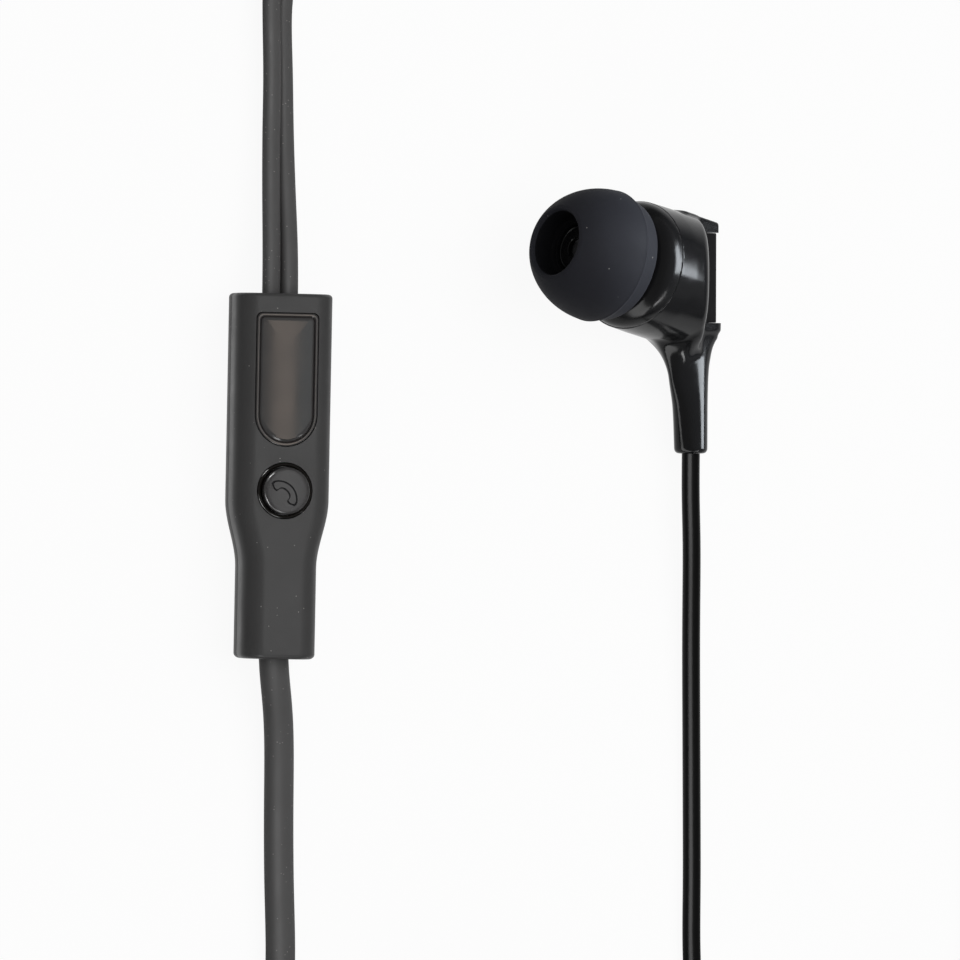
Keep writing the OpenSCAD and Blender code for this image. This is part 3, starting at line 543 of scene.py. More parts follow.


# Each route goes through listed points, before and after its turns in the coil.
right_a = [
    (0.8, 13, 3.1), (0.8, 16.5, 3.1), (0.8, 20, 2.7), (0.7, 25, 1.8), (0.6, 30, 1.1),
    (0.5, 35, 0.8), (0.3, 41.4, 0.8), (0.8, 44.2, 0.8), (3, 46.4, 0.8), (7, 47, 0.8),
    (22, 47, 0.8), (40, 47, 0.8), (57, 47, 0.8), (61.6, 45.8, 0.8), (64.2, 42.8, 0.8),
    (65, 38, 0.8), (65, 22, 0.8), (65, 4, 0.8), (65, -14, 0.8), (65, -32, 0.8), (65, -44, 0.8),
    (65.03, -50, 1.0)]
right_b = [
    (48.2, -57.45, 2.7), (45.6, -54.8, 2.6), (43.2, -52, 1.5), (40.9, -49, 0.85),
    (39.4, -46, 0.8), (38.95, -42, 0.8), (38.8, -34, 0.8), (38.57, -24, 0.8), (38.2, -14, 1.3),
    (37.83, -5, 2.2), (37.6, -1, 2.39), (37.548, 2.7, 2.393)]
left_a = [
    (-0.8, 13, 3.1), (-0.8, 16.5, 3.1), (-0.8, 20, 2.9), (-0.8, 25, 2.3), (-0.8, 30, 1.95),
    (-0.8, 35, 1.9), (-1, 41.4, 1.9), (-0.8, 44.6, 1.6), (2, 47.9, 0.8), (7, 48.7, 0.8),
    (22, 48.7, 0.8), (40, 48.7, 0.8), (57, 48.7, 0.8), (62.6, 47.2, 0.8), (65.7, 43.6, 0.8),
    (66.7, 38, 0.8), (66.7, 22, 0.8), (66.7, 4, 0.8), (66.7, -14, 0.8), (66.7, -32, 0.8),
    (66.7, -44, 0.8), (66.66, -51, 1.05)]
left_b = [
    (51, -64.3, 2.4), (46, -64.4, 1.6), (41.6, -64.9, 1.1), (38, -66.8, 0.8), (36.1, -70.4, 0.9),
    (36.6, -74.3, 1.6), (39.2, -76.8, 2.3), (42, -77.5, 2.4), (44, -77.5, 2.4)]
main_a = [
    (0, -12.9, 3.1), (0, -16.5, 3.1), (0.65, -20, 2.5), (1, -24, 1.8), (1.15, -29, 1.35),
    (1.3, -35, 1.3), (1.6, -43, 1.3), (1.2, -48.6, 1.3), (-0.8, -54.6, 1.4),
    (-2.4, -60.4, 1.5)]
main_b = [
    (17.4, -83.5, 6.5), (20, -83.6, 5.5), (22.4, -83.85, 4.0), (24.2, -84, 3.05), (26, -84, 3)]

right_line = smooth_line(right_a + ear_turns(RIGHT_TURN_R, RIGHT_LEAVES) + right_b, 0.6)
left_line = smooth_line(left_a + ear_turns(LEFT_TURN_R, LEFT_LEAVES) + left_b, 0.6)
main_line = smooth_line(main_a + main_turns() + main_b, 0.8)
right_line, left_line, main_line = (relaxed(line) for line in (right_line, left_line, main_line))

right_cord = tube("right_ear_cord_line", right_line, EAR_R, M["cord_jacket"])
left_cord = tube("left_ear_cord_line", left_line, EAR_R, M["cord_jacket"])
main_cord = tube("main_cord_line", main_line, MAIN_R, M["main_jacket"], 8)
dress(right_cord, "cord_set", "right_ear_cord", "right_ear_cord_end", "ear_cord_coil",
      slot="cord_jacket")
dress(left_cord, "cord_set", "left_ear_cord", "left_ear_cord_end", slot="cord_jacket")
dress(main_cord, "cord_set", "main_cord", "main_cord_coil", "main_cord_tail", slot="cord_jacket")


# ------------------------------------------------------------------ CAD nodes shown as they are
for name, ob in nodes.items():
    ob.data.materials.clear()
    ob.data.materials.append(M[slot_of[name]])
    finish_shading(ob, True, 30)


# ------------------------------------------------------------------ earbud frames
# In its own axes, an earbud's stem runs down along y, its tip faces -x and its spine +x.
SEAM_X, DRUM_R, NECK_R = -8.64, 5.75, 1.95
SEAM_TURN, NOZZLE_PITCH, NOZZLE_YAW = 10.8, -9.2, -11.7
# It lies on the edge of its spine, which sets the height of its axis above the table.
LIE_TILT = 37.3
SPINE_BACK, SPINE_HALF, SPINE_EDGE = 2.05, 1.75, 0.6
LIE_Z = ((SPINE_BACK - SPINE_EDGE) * math.sin(math.radians(LIE_TILT))
         + (SPINE_HALF - SPINE_EDGE) * math.cos(math.radians(LIE_TILT)) + SPINE_EDGE)
MIRROR = np.diag([1.0, 1, -1, 1])
LIE = {
    "right": moved(37.26, 19.2, LIE_Z) @ turned("Z", 1.0) @ turned("Y", LIE_TILT),
    "left": moved(60.5, -77.5, LIE_Z) @ turned("Z", -90) @ turned("Y", LIE_TILT) @ MIRROR,
}
NOZZLE = (moved(SEAM_X, 0, 0) @ turned("Y", NOZZLE_PITCH) @ turned("Z", NOZZLE_YAW)
          @ turned("Y", -90))


# ------------------------------------------------------------------ bodies from distance fields
def nets(field, lo, hi, step):
    """Points and quads of the surface where the field is 0, with the points drawn onto it."""
    lo, hi = np.array(lo, float), np.array(hi, float)
    n = np.ceil((hi - lo) / step).astype(int) + 1
    axes = [lo[i] + step * np.arange(n[i]) for i in range(3)]
    grid = np.stack(np.meshgrid(*axes, indexing="ij"), -1)
    f = field(grid.reshape(-1, 3)).reshape(n)
    inside = f < 0
    cells = tuple(n - 1)
    count, total = np.zeros(cells, np.int32), np.zeros((*cells, 3))
    corner = [(a, b, c) for a in (0, 1) for b in (0, 1) for c in (0, 1)]

    def part(arr, o):
        return arr[o[0]:o[0] + cells[0], o[1]:o[1] + cells[1], o[2]:o[2] + cells[2]]

    for o in corner:
        for ax in range(3):
            if o[ax]:
                continue
            q = list(o)
            q[ax] = 1
            fa, fb = part(f, o), part(f, q)
            cross = (fa < 0) != (fb < 0)
            t = np.where(cross, fa / np.where(cross, fa - fb, 1), 0)
            p = np.broadcast_to(np.array(o, float), (*cells, 3)).copy()
            p[..., ax] = t
            total += p * cross[..., None]
            count += cross
    act = count > 0
    index = -np.ones(cells, np.int64)
    index[act] = np.arange(act.sum())
    base = np.stack(np.nonzero(act), 1)
    verts = lo + step * (base + total[act] / count[act][:, None])
    faces = []
    for ax in range(3):
        u, v = (ax + 1) % 3, (ax + 2) % 3
        a, b = [slice(None)] * 3, [slice(None)] * 3
        a[ax], b[ax] = slice(0, n[ax] - 1), slice(1, n[ax])
        ia, ib = inside[tuple(a)], inside[tuple(b)]
        change = np.stack(np.nonzero(ia != ib), 1)
        for w in (u, v):
            change = change[(change[:, w] > 0) & (change[:, w] < n[w] - 1)]
        quad = []
        for du, dv in ((-1, -1), (0, -1), (0, 0), (-1, 0)):
            c = change.copy()
            c[:, u] += du
            c[:, v] += dv
            quad.append(index[c[:, 0], c[:, 1], c[:, 2]])
        quad = np.stack(quad, 1)
        flip = ~ia[change[:, 0], change[:, 1], change[:, 2]]
        quad[flip] = quad[flip][:, ::-1]
        faces.append(quad)
    faces = np.concatenate(faces)
    for _ in range(5):
        g = gradient(field, verts)
        way = (field(verts) / np.maximum((g * g).sum(1), 1e-6)).clip(-0.5, 0.5)
        verts = verts - g * way[:, None]
    return verts, faces


def gradient(field, p, e=0.004):
    """Slope of the field at the points, from differences over 2e."""
    g = np.empty_like(p)
    for k in range(3):
        d = np.zeros(3)
        d[k] = e
        g[:, k] = (field(p + d) - field(p - d)) / (2 * e)
    return g


def smin(a, b, k):
    """The smaller of two fields, with a fillet of size k where they meet."""
    h = np.clip(0.5 + 0.5 * (b - a) / k, 0, 1)
    return b + (a - b) * h - k * h * (1 - h)


def smax(a, b, k):
    return -smin(-a, -b, k)


def rounded_box(u, v, hu, hv, r):
    """Distance in a plane to a rectangle of half sizes hu and hv with corners of radius r."""
    qu, qv = np.abs(u) - hu + r, np.abs(v) - hv + r
    return np.hypot(np.maximum(qu, 0), np.maximum(qv, 0)) + np.minimum(np.maximum(qu, qv), 0) - r


def pchip(x, y, at):
    """Monotone smooth interpolation."""
    x, y = np.asarray(x, float), np.asarray(y, float)
    h, d = np.diff(x), np.diff(y) / np.diff(x)
    s = np.zeros_like(y)
    same = d[1:] * d[:-1] > 0
    w1, w2 = 2 * h[1:] + h[:-1], h[1:] + 2 * h[:-1]
    with np.errstate(divide="ignore", invalid="ignore"):
        s[1:-1] = np.where(same, (w1 + w2) / (w1 / d[:-1] + w2 / d[1:]), 0)
    s[0], s[-1] = d[0], d[-1]
    at = np.clip(at, x[0], x[-1])
    i = np.clip(np.searchsorted(x, at) - 1, 0, len(x) - 2)
    t = (at - x[i]) / h[i]
    return ((1 + 2 * t) * (1 - t) ** 2 * y[i] + t * (1 - t) ** 2 * h[i] * s[i]
            + t * t * (3 - 2 * t) * y[i + 1] + t * t * (t - 1) * h[i] * s[i + 1])


SEAM = np.array([SEAM_X, 0, 0])
AXIS = np.array([math.cos(math.radians(SEAM_TURN)), -math.sin(math.radians(SEAM_TURN)), 0])
UPWARD = np.array([-AXIS[1], AXIS[0], 0])
FLANK_X, FLANK_Z, FLANK_R = 14.17, 5.76, 14.8
# The stem's section at heights y: how far it reaches in front and behind, its half width, and
# how square it is in front and behind, where 2 is an ellipse.
STEM_Y = [-16.5, -12.6, -10.4, -9.0, -8.0, -7.2, -6.6, -6.3, -5.0]
STEM_FRONT = [1.465, 2.0, 2.7, 3.1, 3.5, 4.0, 4.5, 4.8, 5.2]
STEM_BACK = [1.465, 1.475, 1.495, 1.545, 1.665, 1.8, 1.97, 2.05, 2.05]
STEM_HW = [1.465, 1.475, 1.485, 1.5, 1.53, 1.58, 1.66, 1.7, 1.75]
STEM_ROUND = [2.0, 1.8, 1.68, 1.65, 1.65, 1.7, 1.8, 1.9, 2.0]
STEM_SQUARE = [2.0, 2.0, 2.1, 2.3, 2.7, 3.3, 4.5, 6.0, 6.0]


def rear_field(p):
    """The round case drawn in by two flanks, with its spine, and the stem below them."""
    x, y, z = p[:, 0], p[:, 1], p[:, 2]
    q = p - SEAM
    along, high = q @ AXIS, q @ UPWARD
    taper = 0.0125 * (2.2 - along + np.hypot(2.2 - along, 0.15))
    drum = np.hypot(high, z) - DRUM_R + taper
    drum = np.maximum(drum, -along - 1.0)
    flank = smax(np.hypot(x + FLANK_X, z + FLANK_Z) - FLANK_R,
                 np.hypot(x + FLANK_X, z - FLANK_Z) - FLANK_R, 0.2)
    shell = smax(drum, flank, 0.45)
    spine = rounded_box(x + 0.6, z, 2.6, 1.73, 0.45)
    spine = smax(spine, -y - 5.5, 0.2)
    spine = smax(spine, high - DRUM_R, 0.3)
    shell = smin(shell, spine, 0.5)
    reach = np.where(x < 0, pchip(STEM_Y, STEM_FRONT, y), pchip(STEM_Y, STEM_BACK, y))
    power = np.where(x < 0, pchip(STEM_Y, STEM_ROUND, y), pchip(STEM_Y, STEM_SQUARE, y))
    hw = pchip(STEM_Y, STEM_HW, y)
    u, w = np.abs(x) / reach, np.abs(z) / hw
    size = (u ** power + w ** power + 1e-9) ** (1 / power)
    stem = (size - 1) * np.hypot(x, z) / np.maximum(size, 0.3)
    stem = smax(stem, STEM_Y[0] - y, 0.5)
    stem = smax(stem, y + 4.4, 0.7)
    # The fillet is widest where the flanks run down into the stem.
    return smin(shell, stem, 1.0 + 1.9 * np.exp(-((x + 2.7) / 1.3) ** 2))


def front_field(p):
    """The rounded front of the case, with the nozzle's neck."""
    q = p - SEAM
    along, high = q @ AXIS, q @ UPWARD
    drum = np.hypot(high, p[:, 2]) - DRUM_R
    drum = np.maximum(drum, along - 0.8)
    n = NOZZLE[:3, 2]
    h = q @ n
    rad = np.linalg.norm(q - h[:, None] * n, axis=1)
    dome = rounded_box(rad, h + 3.0, 5.85, 4.6, 2.1)
    shell = smax(drum, dome, 0.5)
    neck = smax(rad - NECK_R, h - 4.0, 0.1)
    return smin(shell, neck, 0.9)


def sliced(verts, faces, origin, normal, lip):
    """The part of a closed surface in front of a plane, with its cut edge turned in as a lip of
    steps, each inward and back."""
    bm = bmesh.new()
    vs = [bm.verts.new(v) for v in verts]
    for f in faces:
        bm.faces.new([vs[i] for i in f])
    o, n = Vector(origin), Vector(normal).normalized()
    bmesh.ops.bisect_plane(bm, geom=bm.verts[:] + bm.edges[:] + bm.faces[:], plane_co=o,
                           plane_no=n, clear_inner=True, dist=1e-5)
    edge = [e for e in bm.edges if e.is_boundary]
    for share, depth in lip:
        new = bmesh.ops.extrude_edge_only(bm, edges=edge)["geom"]
        ring = [g for g in new if isinstance(g, bmesh.types.BMVert)]
        edge = [g for g in new if isinstance(g, bmesh.types.BMEdge)]
        for v in ring:
            radial = (v.co - o) - n * (v.co - o).dot(n)
            v.co -= radial.normalized() * share + n * depth
    bm.verts.index_update()
    out = (np.array([v.co[:] for v in bm.verts]),
           [tuple(v.index for v in f.verts) for f in bm.faces])
    bm.free()
    return out


STEP = 0.15
SEAM_GAP = 0.06
LIP = [(0.03, 0.05), (0.05, 0.03), (1.0, 0.0), (0.05, -1.0)]
rv, rf = nets(rear_field, (-10.2, -16.9, -6.1), (2.5, 6.3, 6.1), STEP)
rear_mesh = sliced(rv, rf, SEAM + AXIS * SEAM_GAP, AXIS, LIP)
fv, ff = nets(front_field, (-15.5, -6.5, -6.6), (-7.2, 7.2, 6.6), STEP)
front_mesh = sliced(fv, ff, SEAM - AXIS * SEAM_GAP, -AXIS, LIP)

# Outlines as (radius, height) along the nozzle, except the recess that the cover fills.
NOSE = ([(NECK_R, 3.6), (NECK_R, 5.9), (2.15, 6.1), (2.15, 6.45), (2.1, 6.6), (NECK_R, 6.75)]
        + arc(1.65, 6.5, 0.3, 45, 90, 4)
        + [(0.95, 6.8), (0.9, 6.75), (0.9, 6.35), (1.3, 6.35), (1.3, 3.6)])
RECESS = [(-0.35, -5.0), (4, -5.0), (4, 2.95), (-0.35, 2.95)]
TIP_R, TIP_Z, MOUTH_R, DOME_H = 5.85, 3.6, 3.35, 5.5
SKIRT_R, SKIRT_Z = 5.36, 2.05
CORE_R, CORE_TOP = 2.93, 8.95


def tip_profile():
    """The soft tip: its skirt, dome and mouth, then the core's bore and the inside of the dome."""
    a = DOME_H / math.sqrt(1 - (MOUTH_R / TIP_R) ** 2)
    end = math.asin(DOME_H / a)
    outer = [(TIP_R * math.cos(t), TIP_Z + a * math.sin(t)) for t in np.linspace(0.02, end, 28)]
    skirt = [(SKIRT_R + 0.43 * (z - SKIRT_Z) / 1.5, z) for z in np.linspace(SKIRT_Z, 3.55, 6)]
    inner = [(5.2 * math.cos(t), TIP_Z + (a - 0.65) * math.sin(t))
             for t in np.linspace(0.66, 0, 12)]
    return (arc(5.2, SKIRT_Z, 0.15, 270, 350, 4) + skirt + [(TIP_R, 3.62), (5.87, 3.68)] + outer
            + [(3.26, 9.17)] + arc(3.08, 9.08, 0.15, 40, 170, 7)
            + [(2.86, 8.9), (2.8, 8.6), (2.76, 7.6), (2.72, 7.2)]
            + arc(2.5, 7.15, 0.2, 0, -80, 4) + [(2.35, 6.95)] + arc(2.3, 6.85, 0.1, 90, 180, 3)
            + [(2.2, 2.3), (2.85, 2.25), (2.95, 2.35), (2.95, 6.6)]
            + arc(3.4, 6.6, 0.45, 180, 120, 3) + inner
            + [(5.0, 3.0), (4.8, SKIRT_Z)] + arc(4.95, SKIRT_Z, 0.15, 180, 270, 3))


def cover_ring(y, d):
    """Outline of the spine's cover, drawn in by d: round corners outside, sharp ones inside."""
    hx, hz, r, sharp = 1.05 - d, 1.6 - d, 0.4, 0.05
    corners = ((hx - r, hz - r), (r - hx, hz - r), (r - hx, r - hz), (hx - r, r - hz))
    ring = []
    for i, (cx, cz) in enumerate(corners):
        if cx < 0:
            cx, cz = sharp - hx, math.copysign(hz - sharp, cz)
        bend = r if cx > 0 else sharp
        for k in range(7):
            t = math.radians(90 * i + 90 * k / 6)
            ring.append((0.75 + cx + bend * math.cos(t), y, cz + bend * math.sin(t)))
    return ring


def local_object(name, mesh, side, material):
    """An earbud's mesh laid on the table, with the faces of the mirrored side turned."""
    v, f = mesh
    if side == "left":
        f = [tuple(reversed(q)) for q in f]
    return mesh_object(name, put(v, LIE[side]), f, material, angle=40)


def earbud(side):
    """The pieces of one earbud. The left one is the mirror image of the right one."""
    lie = LIE[side]
    nozzle = lie @ NOZZLE
    rear = local_object(side + "_rear_shell", rear_mesh, side, M["gloss_black"])
    v, f = prism(RECESS, -5, 5)
    cut(rear, [tool(put(v, lie), f)], angle=40)
    dress(rear, "cord_set", side + "_rear_housing", slot="gloss_black")

    front = local_object(side + "_front_shell", front_mesh, side, M["gloss_black_front"])
    nose = lathed("nose", NOSE, nozzle, M["gloss_black"])
    front = joined(side + "_front_shell_full", [front, nose])
    dress(front, "cord_set", side + "_front_housing", slot="gloss_black")

    tip = lathed(side + "_ear_tip_soft", tip_profile(), nozzle, M["tip_silicone"], closed=True,
                 angle=180)
    # The faces inside the core's bore, in the tip's mouth, are coloured nearly black: painted
    # shade.
    tip.data.materials.append(M["tip_core"])
    inward = np.linalg.inv(nozzle)
    for face in tip.data.polygons:
        c = inward @ np.array([*(face.center / MM), 1.0])
        if math.hypot(c[0], c[1]) < CORE_R and c[2] < CORE_TOP:
            face.material_index = 1
    dress(tip, side + "_ear_tip", side + "_ear_tip", slot="tip_silicone")

    v, f = skin([cover_ring(y, d) for y, d in (
        (-4.97, 0.05), (-4.93, 0.01), (-4.85, 0.0), (2.8, 0.0), (2.88, 0.01), (2.92, 0.05))])
    cover = mesh_object(side + "_spine_cover", put(v, lie), f, M["matt_black"], angle=30)
    outward(cover)
    dress(cover, "cord_set", side + "_rear_cover", slot="matt_black")


earbud("right")
earbud("left")


# ------------------------------------------------------------------ remote
# Half its length, and the heights of its parting plane and of its face.
L2, SPLIT, TOP = 15.9, 3.1, 6.4
NARROW_HW, WIDER, SHOULDER_Y, SHOULDER_L = 3.3, 1.0, -7.9, 5.8
WALL, END_WALL, SEAM_BEVEL = 0.8, 1.2, 0.06
PANEL_HW, PANEL_HL, PANEL_END = 2.75, 5.8, 1.7
BUTTON_Y, BUTTON_HOLE_R = -1.25, 2.48
MIC_Y, MIC_HOLE_R = -8.2, 0.4


def half_width(y):
    """Half the width of the remote, which widens above its shoulder."""
    return NARROW_HW + WIDER * ease((y - SHOULDER_Y) / SHOULDER_L)


def shell_rings(top, r, sign, inset=0.0, y0=-L2, y1=L2, base=0.0, ends=True):
    """Rings of one half of the remote. The case has rounded ends and a bevelled seam, which its
    hollow, drawn in by the inset, has not."""
    quarter = math.pi / 2
    stations = [(y, 0.0) for y in np.linspace(y0, y1, 50)]
    if ends:
        stations = [(y0 + 0.45 * (1 - math.cos(t)), 0.45 * (1 - math.sin(t)))
                    for t in np.linspace(0, quarter, 8)]
        stations += [(y, 0.0) for y in np.linspace(y0 + 1.2, y1 - 0.8, 70)]
        stations += [(y1 - 0.35 * (1 - math.cos(t)), 0.35 * (1 - math.sin(t)))
                     for t in np.linspace(quarter, 0, 7)]
    q = max(0.1, r - inset)
    g = SEAM_BEVEL if ends else 0
    rings = []
    for y, d in stations:
        hw, h = half_width(y) - inset - d, top - inset - d
        ring = [(hw - g, base), (hw - g * 0.3, base + g * 0.3), (hw, base + g)]
        for side, start in ((hw - q, 0), (-hw + q, quarter)):
            ring += [(side + q * math.cos(t), h - q + q * math.sin(t))
                     for t in np.linspace(start, start + quarter, 14)]
        ring += [(-hw, base + g), (-hw + g * 0.3, base + g * 0.3), (-hw + g, base)]
        rings.append([(x, y, SPLIT + sign * z) for x, z in ring])
    return rings


def cord_slots():
    """Cutters for the mouths where the two ear cords and the main cord enter."""
    out = []
    for x, y, r in ((-0.8, 16, 0.85), (0.8, 16, 0.85), (0, -16, 1.35)):
        m = moved(x, y - 2, SPLIT) @ turned("X", -90)
        v, f = lathe([(0, 0), (r, 0), (r, 4), (0, 4)], 48)
        out.append(tool(put(v, m), f))
    return out


def panel_outline(inset, n=40):
    """Flat upper edge with small corners and a round lower end."""
    y_mid = L2 - PANEL_END - PANEL_HL
    r = PANEL_HW - inset
    pts = [(r * math.cos(t), y_mid - PANEL_HL + PANEL_HW + r * math.sin(t))
           for t in np.linspace(math.pi, 2 * math.pi, n)]
    q, top = max(0.05, 0.5 - inset * 0.3), y_mid + PANEL_HL - inset
    quarter = math.pi / 2
    for side, start in ((r - q, 0), (-r + q, quarter)):
        pts += [(side + q * math.cos(t), top - q + q * math.sin(t))
                for t in np.linspace(start, start + quarter, 8)]
    return pts


def round_cutter(r, y, z0, z1, segments):
    """Points and faces of an upright drum for a round hole."""
    v, f = lathe([(0, z0), (r, z0), (r, z1), (0, z1)], segments)
    return put(v, moved(0, y, 0)), f


def case_half(name, top, r, sign, openings):
    """Half of the remote's case, hollow, with the cords' mouths and its own openings cut out."""
    half = mesh_object(name, *skin(shell_rings(top, r, sign)), M["remote_grey"])
    outward(half)
    hollow = skin(shell_rings(top, r, sign, WALL, -L2 + END_WALL, L2 - END_WALL, -1, False))
    cut(half, [tool(*hollow)] + cord_slots() + [tool(*opening) for opening in openings])
    return half


front_shell = case_half("remote_front_case", TOP - SPLIT, 1.8, 1, [
    round_cutter(BUTTON_HOLE_R, BUTTON_Y, 3, 8, 96),
    prism(panel_outline(-0.05), TOP - 0.5, TOP + 1)])
dress(front_shell, "cord_set", "remote_front_shell", slot="remote_grey")
back_shell = case_half("remote_back_case", SPLIT, 2.2, -1, [
    round_cutter(MIC_HOLE_R, MIC_Y, -1, 2, 32)])
dress(back_shell, "cord_set", "remote_back_shell", slot="remote_grey")

# The panel's rings from its edge inward, as (inset, height over the face): a raised rib, a
# groove inside it and a faintly domed field. Its edge and groove are dark by painted shade.
PANEL_STEPS = [
    (0.0, -0.5), (0.0, -0.06), (0.03, 0.0), (0.08, 0.04), (0.2, 0.05), (0.27, 0.03),
    (0.31, -0.06), (0.36, -0.1), (0.42, -0.06), (0.46, 0.0), (0.55, 0.02)]
FIELD_INSETS = (0.62, 0.8, 1.0, 1.25, 1.5, 1.75, 2.0, 2.25, 2.5, 2.7)
DOME_RISE, DOME_HW = 0.11, 2.2
PAINTED_SHADE_RINGS, RIB_RINGS = (0, 1, 2, 5, 6, 7), (3, 4)


def ribbed_panel():
    rings = [[(x, y, TOP + dz) for x, y in panel_outline(d)] for d, dz in PANEL_STEPS]
    for d in FIELD_INSETS:
        rings.append([(x, y, TOP + 0.02 + DOME_RISE * (1 - (x / DOME_HW) ** 2))
                      for x, y in panel_outline(d)])
    return skin(rings)


panel = mesh_object("remote_panel", *ribbed_panel(), M["panel_brown"], angle=50)
panel.data.materials.append(M["painted_shade_gloss"])
panel.data.materials.append(M["panel_rib"])
# The gap and groove rings take the dark colour of painted shade.
for face in panel.data.polygons:
    ring = face.index // len(panel_outline(0))
    face.material_index = 1 if ring in PAINTED_SHADE_RINGS else 2 if ring in RIB_RINGS else 0
outward(panel)
dress(panel, "cord_set", "inlay_panel", slot="panel_brown")

# The button in its ring. Its sign is a groove along the outline of a handset. The faces of the
# cap from SIGN_LOW to SIGN_HIGH, within SIGN_REACH of its middle, are that groove.
BUTTON = moved(0, BUTTON_Y, 0)
BEZEL = [(2.12, 5.5), (2.43, 5.5)] + arc(2.275, 6.36, 0.155, 0, 180, 12)
CAP = ([(0, 4.15), (1.1, 4.15), (1.1, 5.0), (2.3, 5.0), (2.3, 5.4), (2.05, 5.4), (2.05, 6.6)]
       + arc(1.75, 7.12, 0.3, 0, 80, 10) + [(1.6, 7.43), (1.2, 7.46), (0.6, 7.475), (0, 7.48)])
CAP_SIDE_TOP = 7.0
GROOVE_HALF, GROOVE_FLOOR = 0.07, 7.36
SIGN_LOW, SIGN_HIGH, SIGN_REACH = 7.3, 7.425, 1.55
SIGN_R, SIGN_CENTRE = 1.62, -0.78

bezel = lathed("button_well_ring", BEZEL, BUTTON, M["well_bronze"], closed=True)
dress(bezel, "cord_set", "button_bezel", slot="gloss_black")
cap = lathed("call_button_cap", CAP, BUTTON, M["button_grey"])


def handset(grow):
    """A plain telephone handset, as a band along an arc with two wider ends."""
    outer, inner = [], []
    for k in range(41):
        s = k / 40
        a = math.radians(112 - 130 * s) + grow / 1.3 * (1 - 2 * s)
        w = 0.27 + 0.13 * (math.exp(-((s - 0.08) / 0.13) ** 2)
                           + math.exp(-((s - 0.92) / 0.13) ** 2))
        e = 0.12 * (math.exp(-(s / 0.05) ** 2) + math.exp(-((1 - s) / 0.05) ** 2))
        for pts, r in ((outer, SIGN_R - e + grow), (inner, SIGN_R - 2 * w + e - grow)):
            pts.append((SIGN_CENTRE + r * math.cos(a), SIGN_CENTRE + r * math.sin(a)))
    return outer + inner[::-1]


sign = []
for grow, z0 in ((GROOVE_HALF, GROOVE_FLOOR), (-GROOVE_HALF, SIGN_LOW)):
    v, f = prism([(x, y + BUTTON_Y) for x, y in handset(grow)], z0, 7.7)
    sign.append(tool(v, f))
groove = cut(sign[0], [sign[1]])
cut(cap, [groove])
cap.data.materials.append(M["painted_shade_gloss"])
cap.data.materials.append(M["matt_black"])
# Painted shade: the cap's side within its ring and the groove of its sign are coloured dark.
for face in cap.data.polygons:
    c = face.center / MM
    if c.z < CAP_SIDE_TOP:
        face.material_index = 1
    elif SIGN_LOW < c.z < SIGN_HIGH and math.hypot(c.x, c.y - BUTTON_Y) < SIGN_REACH:
        face.material_index = 2
dress(cap, "call_button", "call_button", slot="button_grey")


# ------------------------------------------------------------------ floor and light
CASES = ("right_rear_shell", "right_front_shell", "left_rear_shell", "left_front_shell")
TIPS = ("right_ear_tip_soft", "left_ear_tip_soft")
CORDS = ("right_ear_cord", "left_ear_cord", "main_cord")
KEY = ("call_button_cap", "button_well_ring")
PANEL, FACE = ("remote_panel",), ("remote_front_case",)
EARBUD_AIM, REMOTE_AIM, MIDDLE_AIM = (37, 18, 8), (0, 0, 6), (20, -5, 0)
WHITE, ICY, BLUISH = (1, 1, 1), (0.88, 0.94, 1.0), (0.82, 0.92, 1.0)
WARM, COOL = (1.0, 0.81, 0.67), (0.82, 0.95, 1.0)
WINDOW, SIDE = (0.522, 0.095, 0.131), (-0.06, -0.5, 0.33)

# Name, place and size in metres, power, aim in millimetres, colour, the kind of rays it leaves
# out, and the pieces it is kept to. Most of them make one reflection that the photograph shows.
LIGHTS = (
    ("top_light", (0.22, 0.10, 0.60), (0.6, 0.6), 2.9, MIDDLE_AIM, WHITE, "glossy", ()),
    ("window_light", WINDOW, (0.33, 0.18), 3.9, EARBUD_AIM, ICY, None, CASES + TIPS),
    ("window_fill", WINDOW, (0.33, 0.18), 1.2, EARBUD_AIM, BLUISH, None, TIPS),
    ("left_glow", (-0.268, -0.372, 0.146), (0.8, 0.25), 2.8, EARBUD_AIM, WHITE, "diffuse",
     CASES + KEY),
    ("small_light", (0.354, -0.311, 0.211), (0.05, 0.07), 0.1, EARBUD_AIM, WHITE, "diffuse",
     CASES + KEY + PANEL),
    ("sheen_light", (-0.190, 0.0, 0.452), (0.35, 0.4), 5.2, MIDDLE_AIM, WHITE, "diffuse", CORDS),
    ("front_light", SIDE, (0.16, 0.3), 1.3, MIDDLE_AIM, WHITE, "diffuse", PANEL + FACE + KEY),
    ("panel_light", (0.12, 0.0, 0.60), (0.5, 0.12), 0.56, REMOTE_AIM, WARM, "diffuse", PANEL),
    ("cool_light", (0.26, 0.0, 0.60), (0.5, 0.12), 0.16, REMOTE_AIM, COOL, "diffuse", PANEL),
    ("face_light", (0.14, 0.0, 0.60), (0.5, 0.2), 0.7, REMOTE_AIM, WHITE, "diffuse",
     FACE + ("call_button_cap",)),
    ("stem_light", (0.249, -0.398, 0.187), (0.22, 0.06), 0.6, EARBUD_AIM, WHITE, "diffuse", CASES),
    ("button_light", (-0.293, 0.35, 0.148), (0.15, 0.2), 3.6, REMOTE_AIM, WHITE, "diffuse", KEY),
    ("button_glow", (-0.376, -0.263, 0.146), (0.22, 0.15), 2.4, REMOTE_AIM, WHITE, "diffuse", KEY),
    ("low_light", SIDE, (0.3, 0.3), 0.4, MIDDLE_AIM, WHITE, "glossy", ()),
)


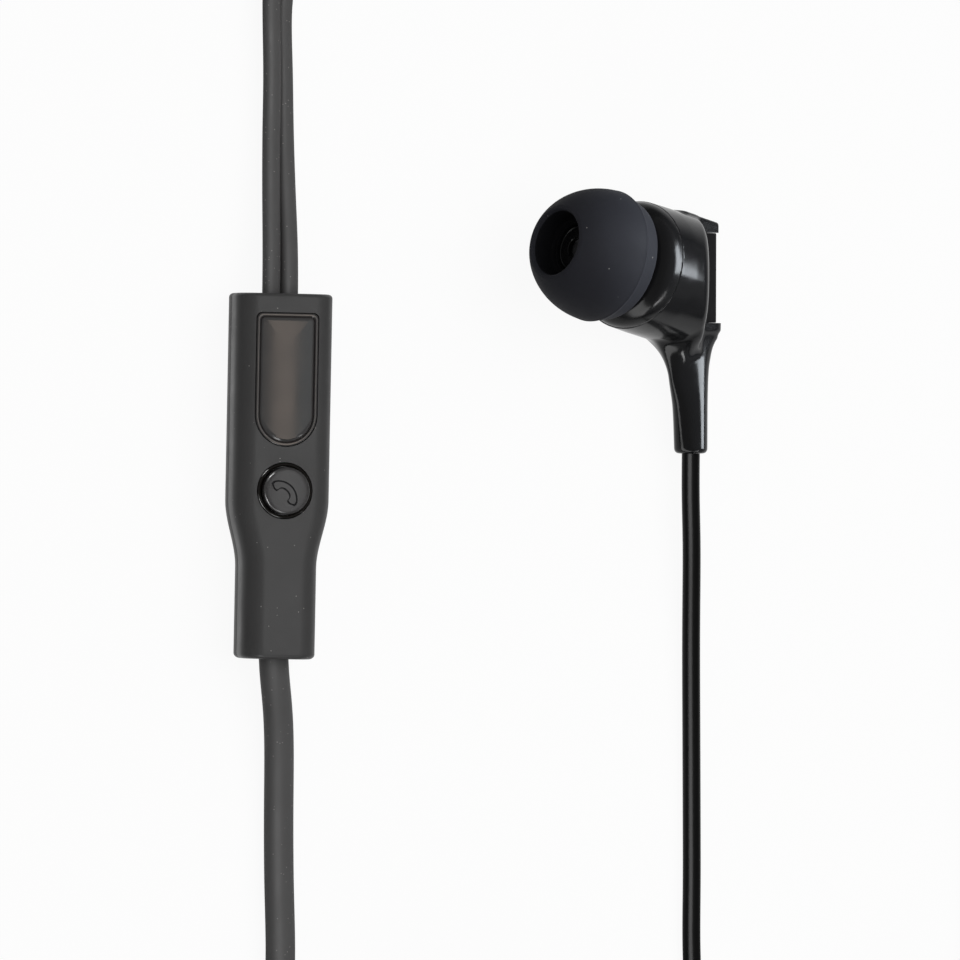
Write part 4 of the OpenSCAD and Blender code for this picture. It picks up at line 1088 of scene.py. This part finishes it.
def area_light(name, place, size, power, aim, colour):
    li = bpy.data.lights.new(name, "AREA")
    li.shape = "RECTANGLE"
    li.size, li.size_y = size
    li.energy = power
    li.color = colour
    ob = bpy.data.objects.new(name, li)
    scene.collection.objects.link(ob)
    ob.location = Vector(place)
    d = Vector(aim) * MM - ob.location
    ob.rotation_mode = "QUATERNION"
    ob.rotation_quaternion = d.to_track_quat("-Z", "Y")
    ob.visible_camera = False
    return ob


def only_on(light, names):
    """Keeps a light to the pieces whose names start with one of these."""
    kept = bpy.data.collections.new(light.name + "_lights")
    for ob in scene.objects:
        if ob.name.startswith(names):
            kept.objects.link(ob)
    light.light_linking.receiver_collection = kept


for name, place, size, power, aim, colour, left_out, pieces in LIGHTS:
    light = area_light(name, place, size, power, aim, colour)
    if left_out:
        setattr(light, "visible_" + left_out, False)
    if pieces:
        only_on(light, pieces)

# A sky of plain greys, lighter towards the horizon.
world = bpy.data.worlds.new("studio")
scene.world = world
world.use_nodes = True
wt = world.node_tree
sky = node(wt, "ShaderNodeTexCoord")
height = node(wt, "ShaderNodeSeparateXYZ")
wt.links.new(sky.outputs["Generated"], height.inputs[0])
tone = ramp(wt, height.outputs[2], [(0.0, 0.4), (0.2, 0.28), (0.6, 0.25)], "EASE")
bg = wt.nodes["Background"]
wt.links.new(tone, bg.inputs["Color"])
bg.inputs["Strength"].default_value = 1.0

FLOOR_HALF, FLOOR_Z = 6000, -0.02
FLOOR_OWN_LIGHT = 0.93
SHEET_CENTRE = (0.022, 0.0, 0.0)


def floor_material():
    """White by its own colour to the camera, where it keeps the shadows. In reflections it glows
    with painted light, a bright sheet round the part that darkens outward."""
    m, t, b = new_material("floor_white")
    b.inputs["Base Color"].default_value = (0.85, 0.85, 0.85, 1)
    b.inputs["Roughness"].default_value = 0.7
    ray = node(t, "ShaderNodeLightPath").outputs
    mirrored = math_node(t, "MAXIMUM", ray["Is Glossy Ray"], ray["Is Transmission Ray"])
    share = math_node(t, "MULTIPLY_ADD", ray["Is Camera Ray"], FLOOR_OWN_LIGHT, mirrored)
    far = node(t, "ShaderNodeVectorMath", operation="DISTANCE")
    t.links.new(coords(t), far.inputs[0])
    far.inputs[1].default_value = SHEET_CENTRE
    # Painted light: the glow seen in reflections, bright round the part and darker outward.
    sheet = ramp(t, far.outputs["Value"], [(0.03, 0.8), (0.055, 0.12)], "EASE")
    em = node(t, "ShaderNodeEmission", {"Strength": 1.0})
    t.links.new(colour_mix(t, (1, 1, 1), sheet, mirrored), em.inputs["Color"])
    mix = node(t, "ShaderNodeMixShader")
    for socket, source in zip(mix.inputs, (share, b.outputs[0], em.outputs[0])):
        t.links.new(source, socket)
    t.links.new(mix.outputs[0], t.nodes["Material Output"].inputs[0])
    return m


corners = [(x * FLOOR_HALF, y * FLOOR_HALF, FLOOR_Z)
           for x, y in ((-1, -1), (1, -1), (1, 1), (-1, 1))]
floor = mesh_object("floor", corners, [(0, 1, 2, 3)], floor_material(), smooth=False)
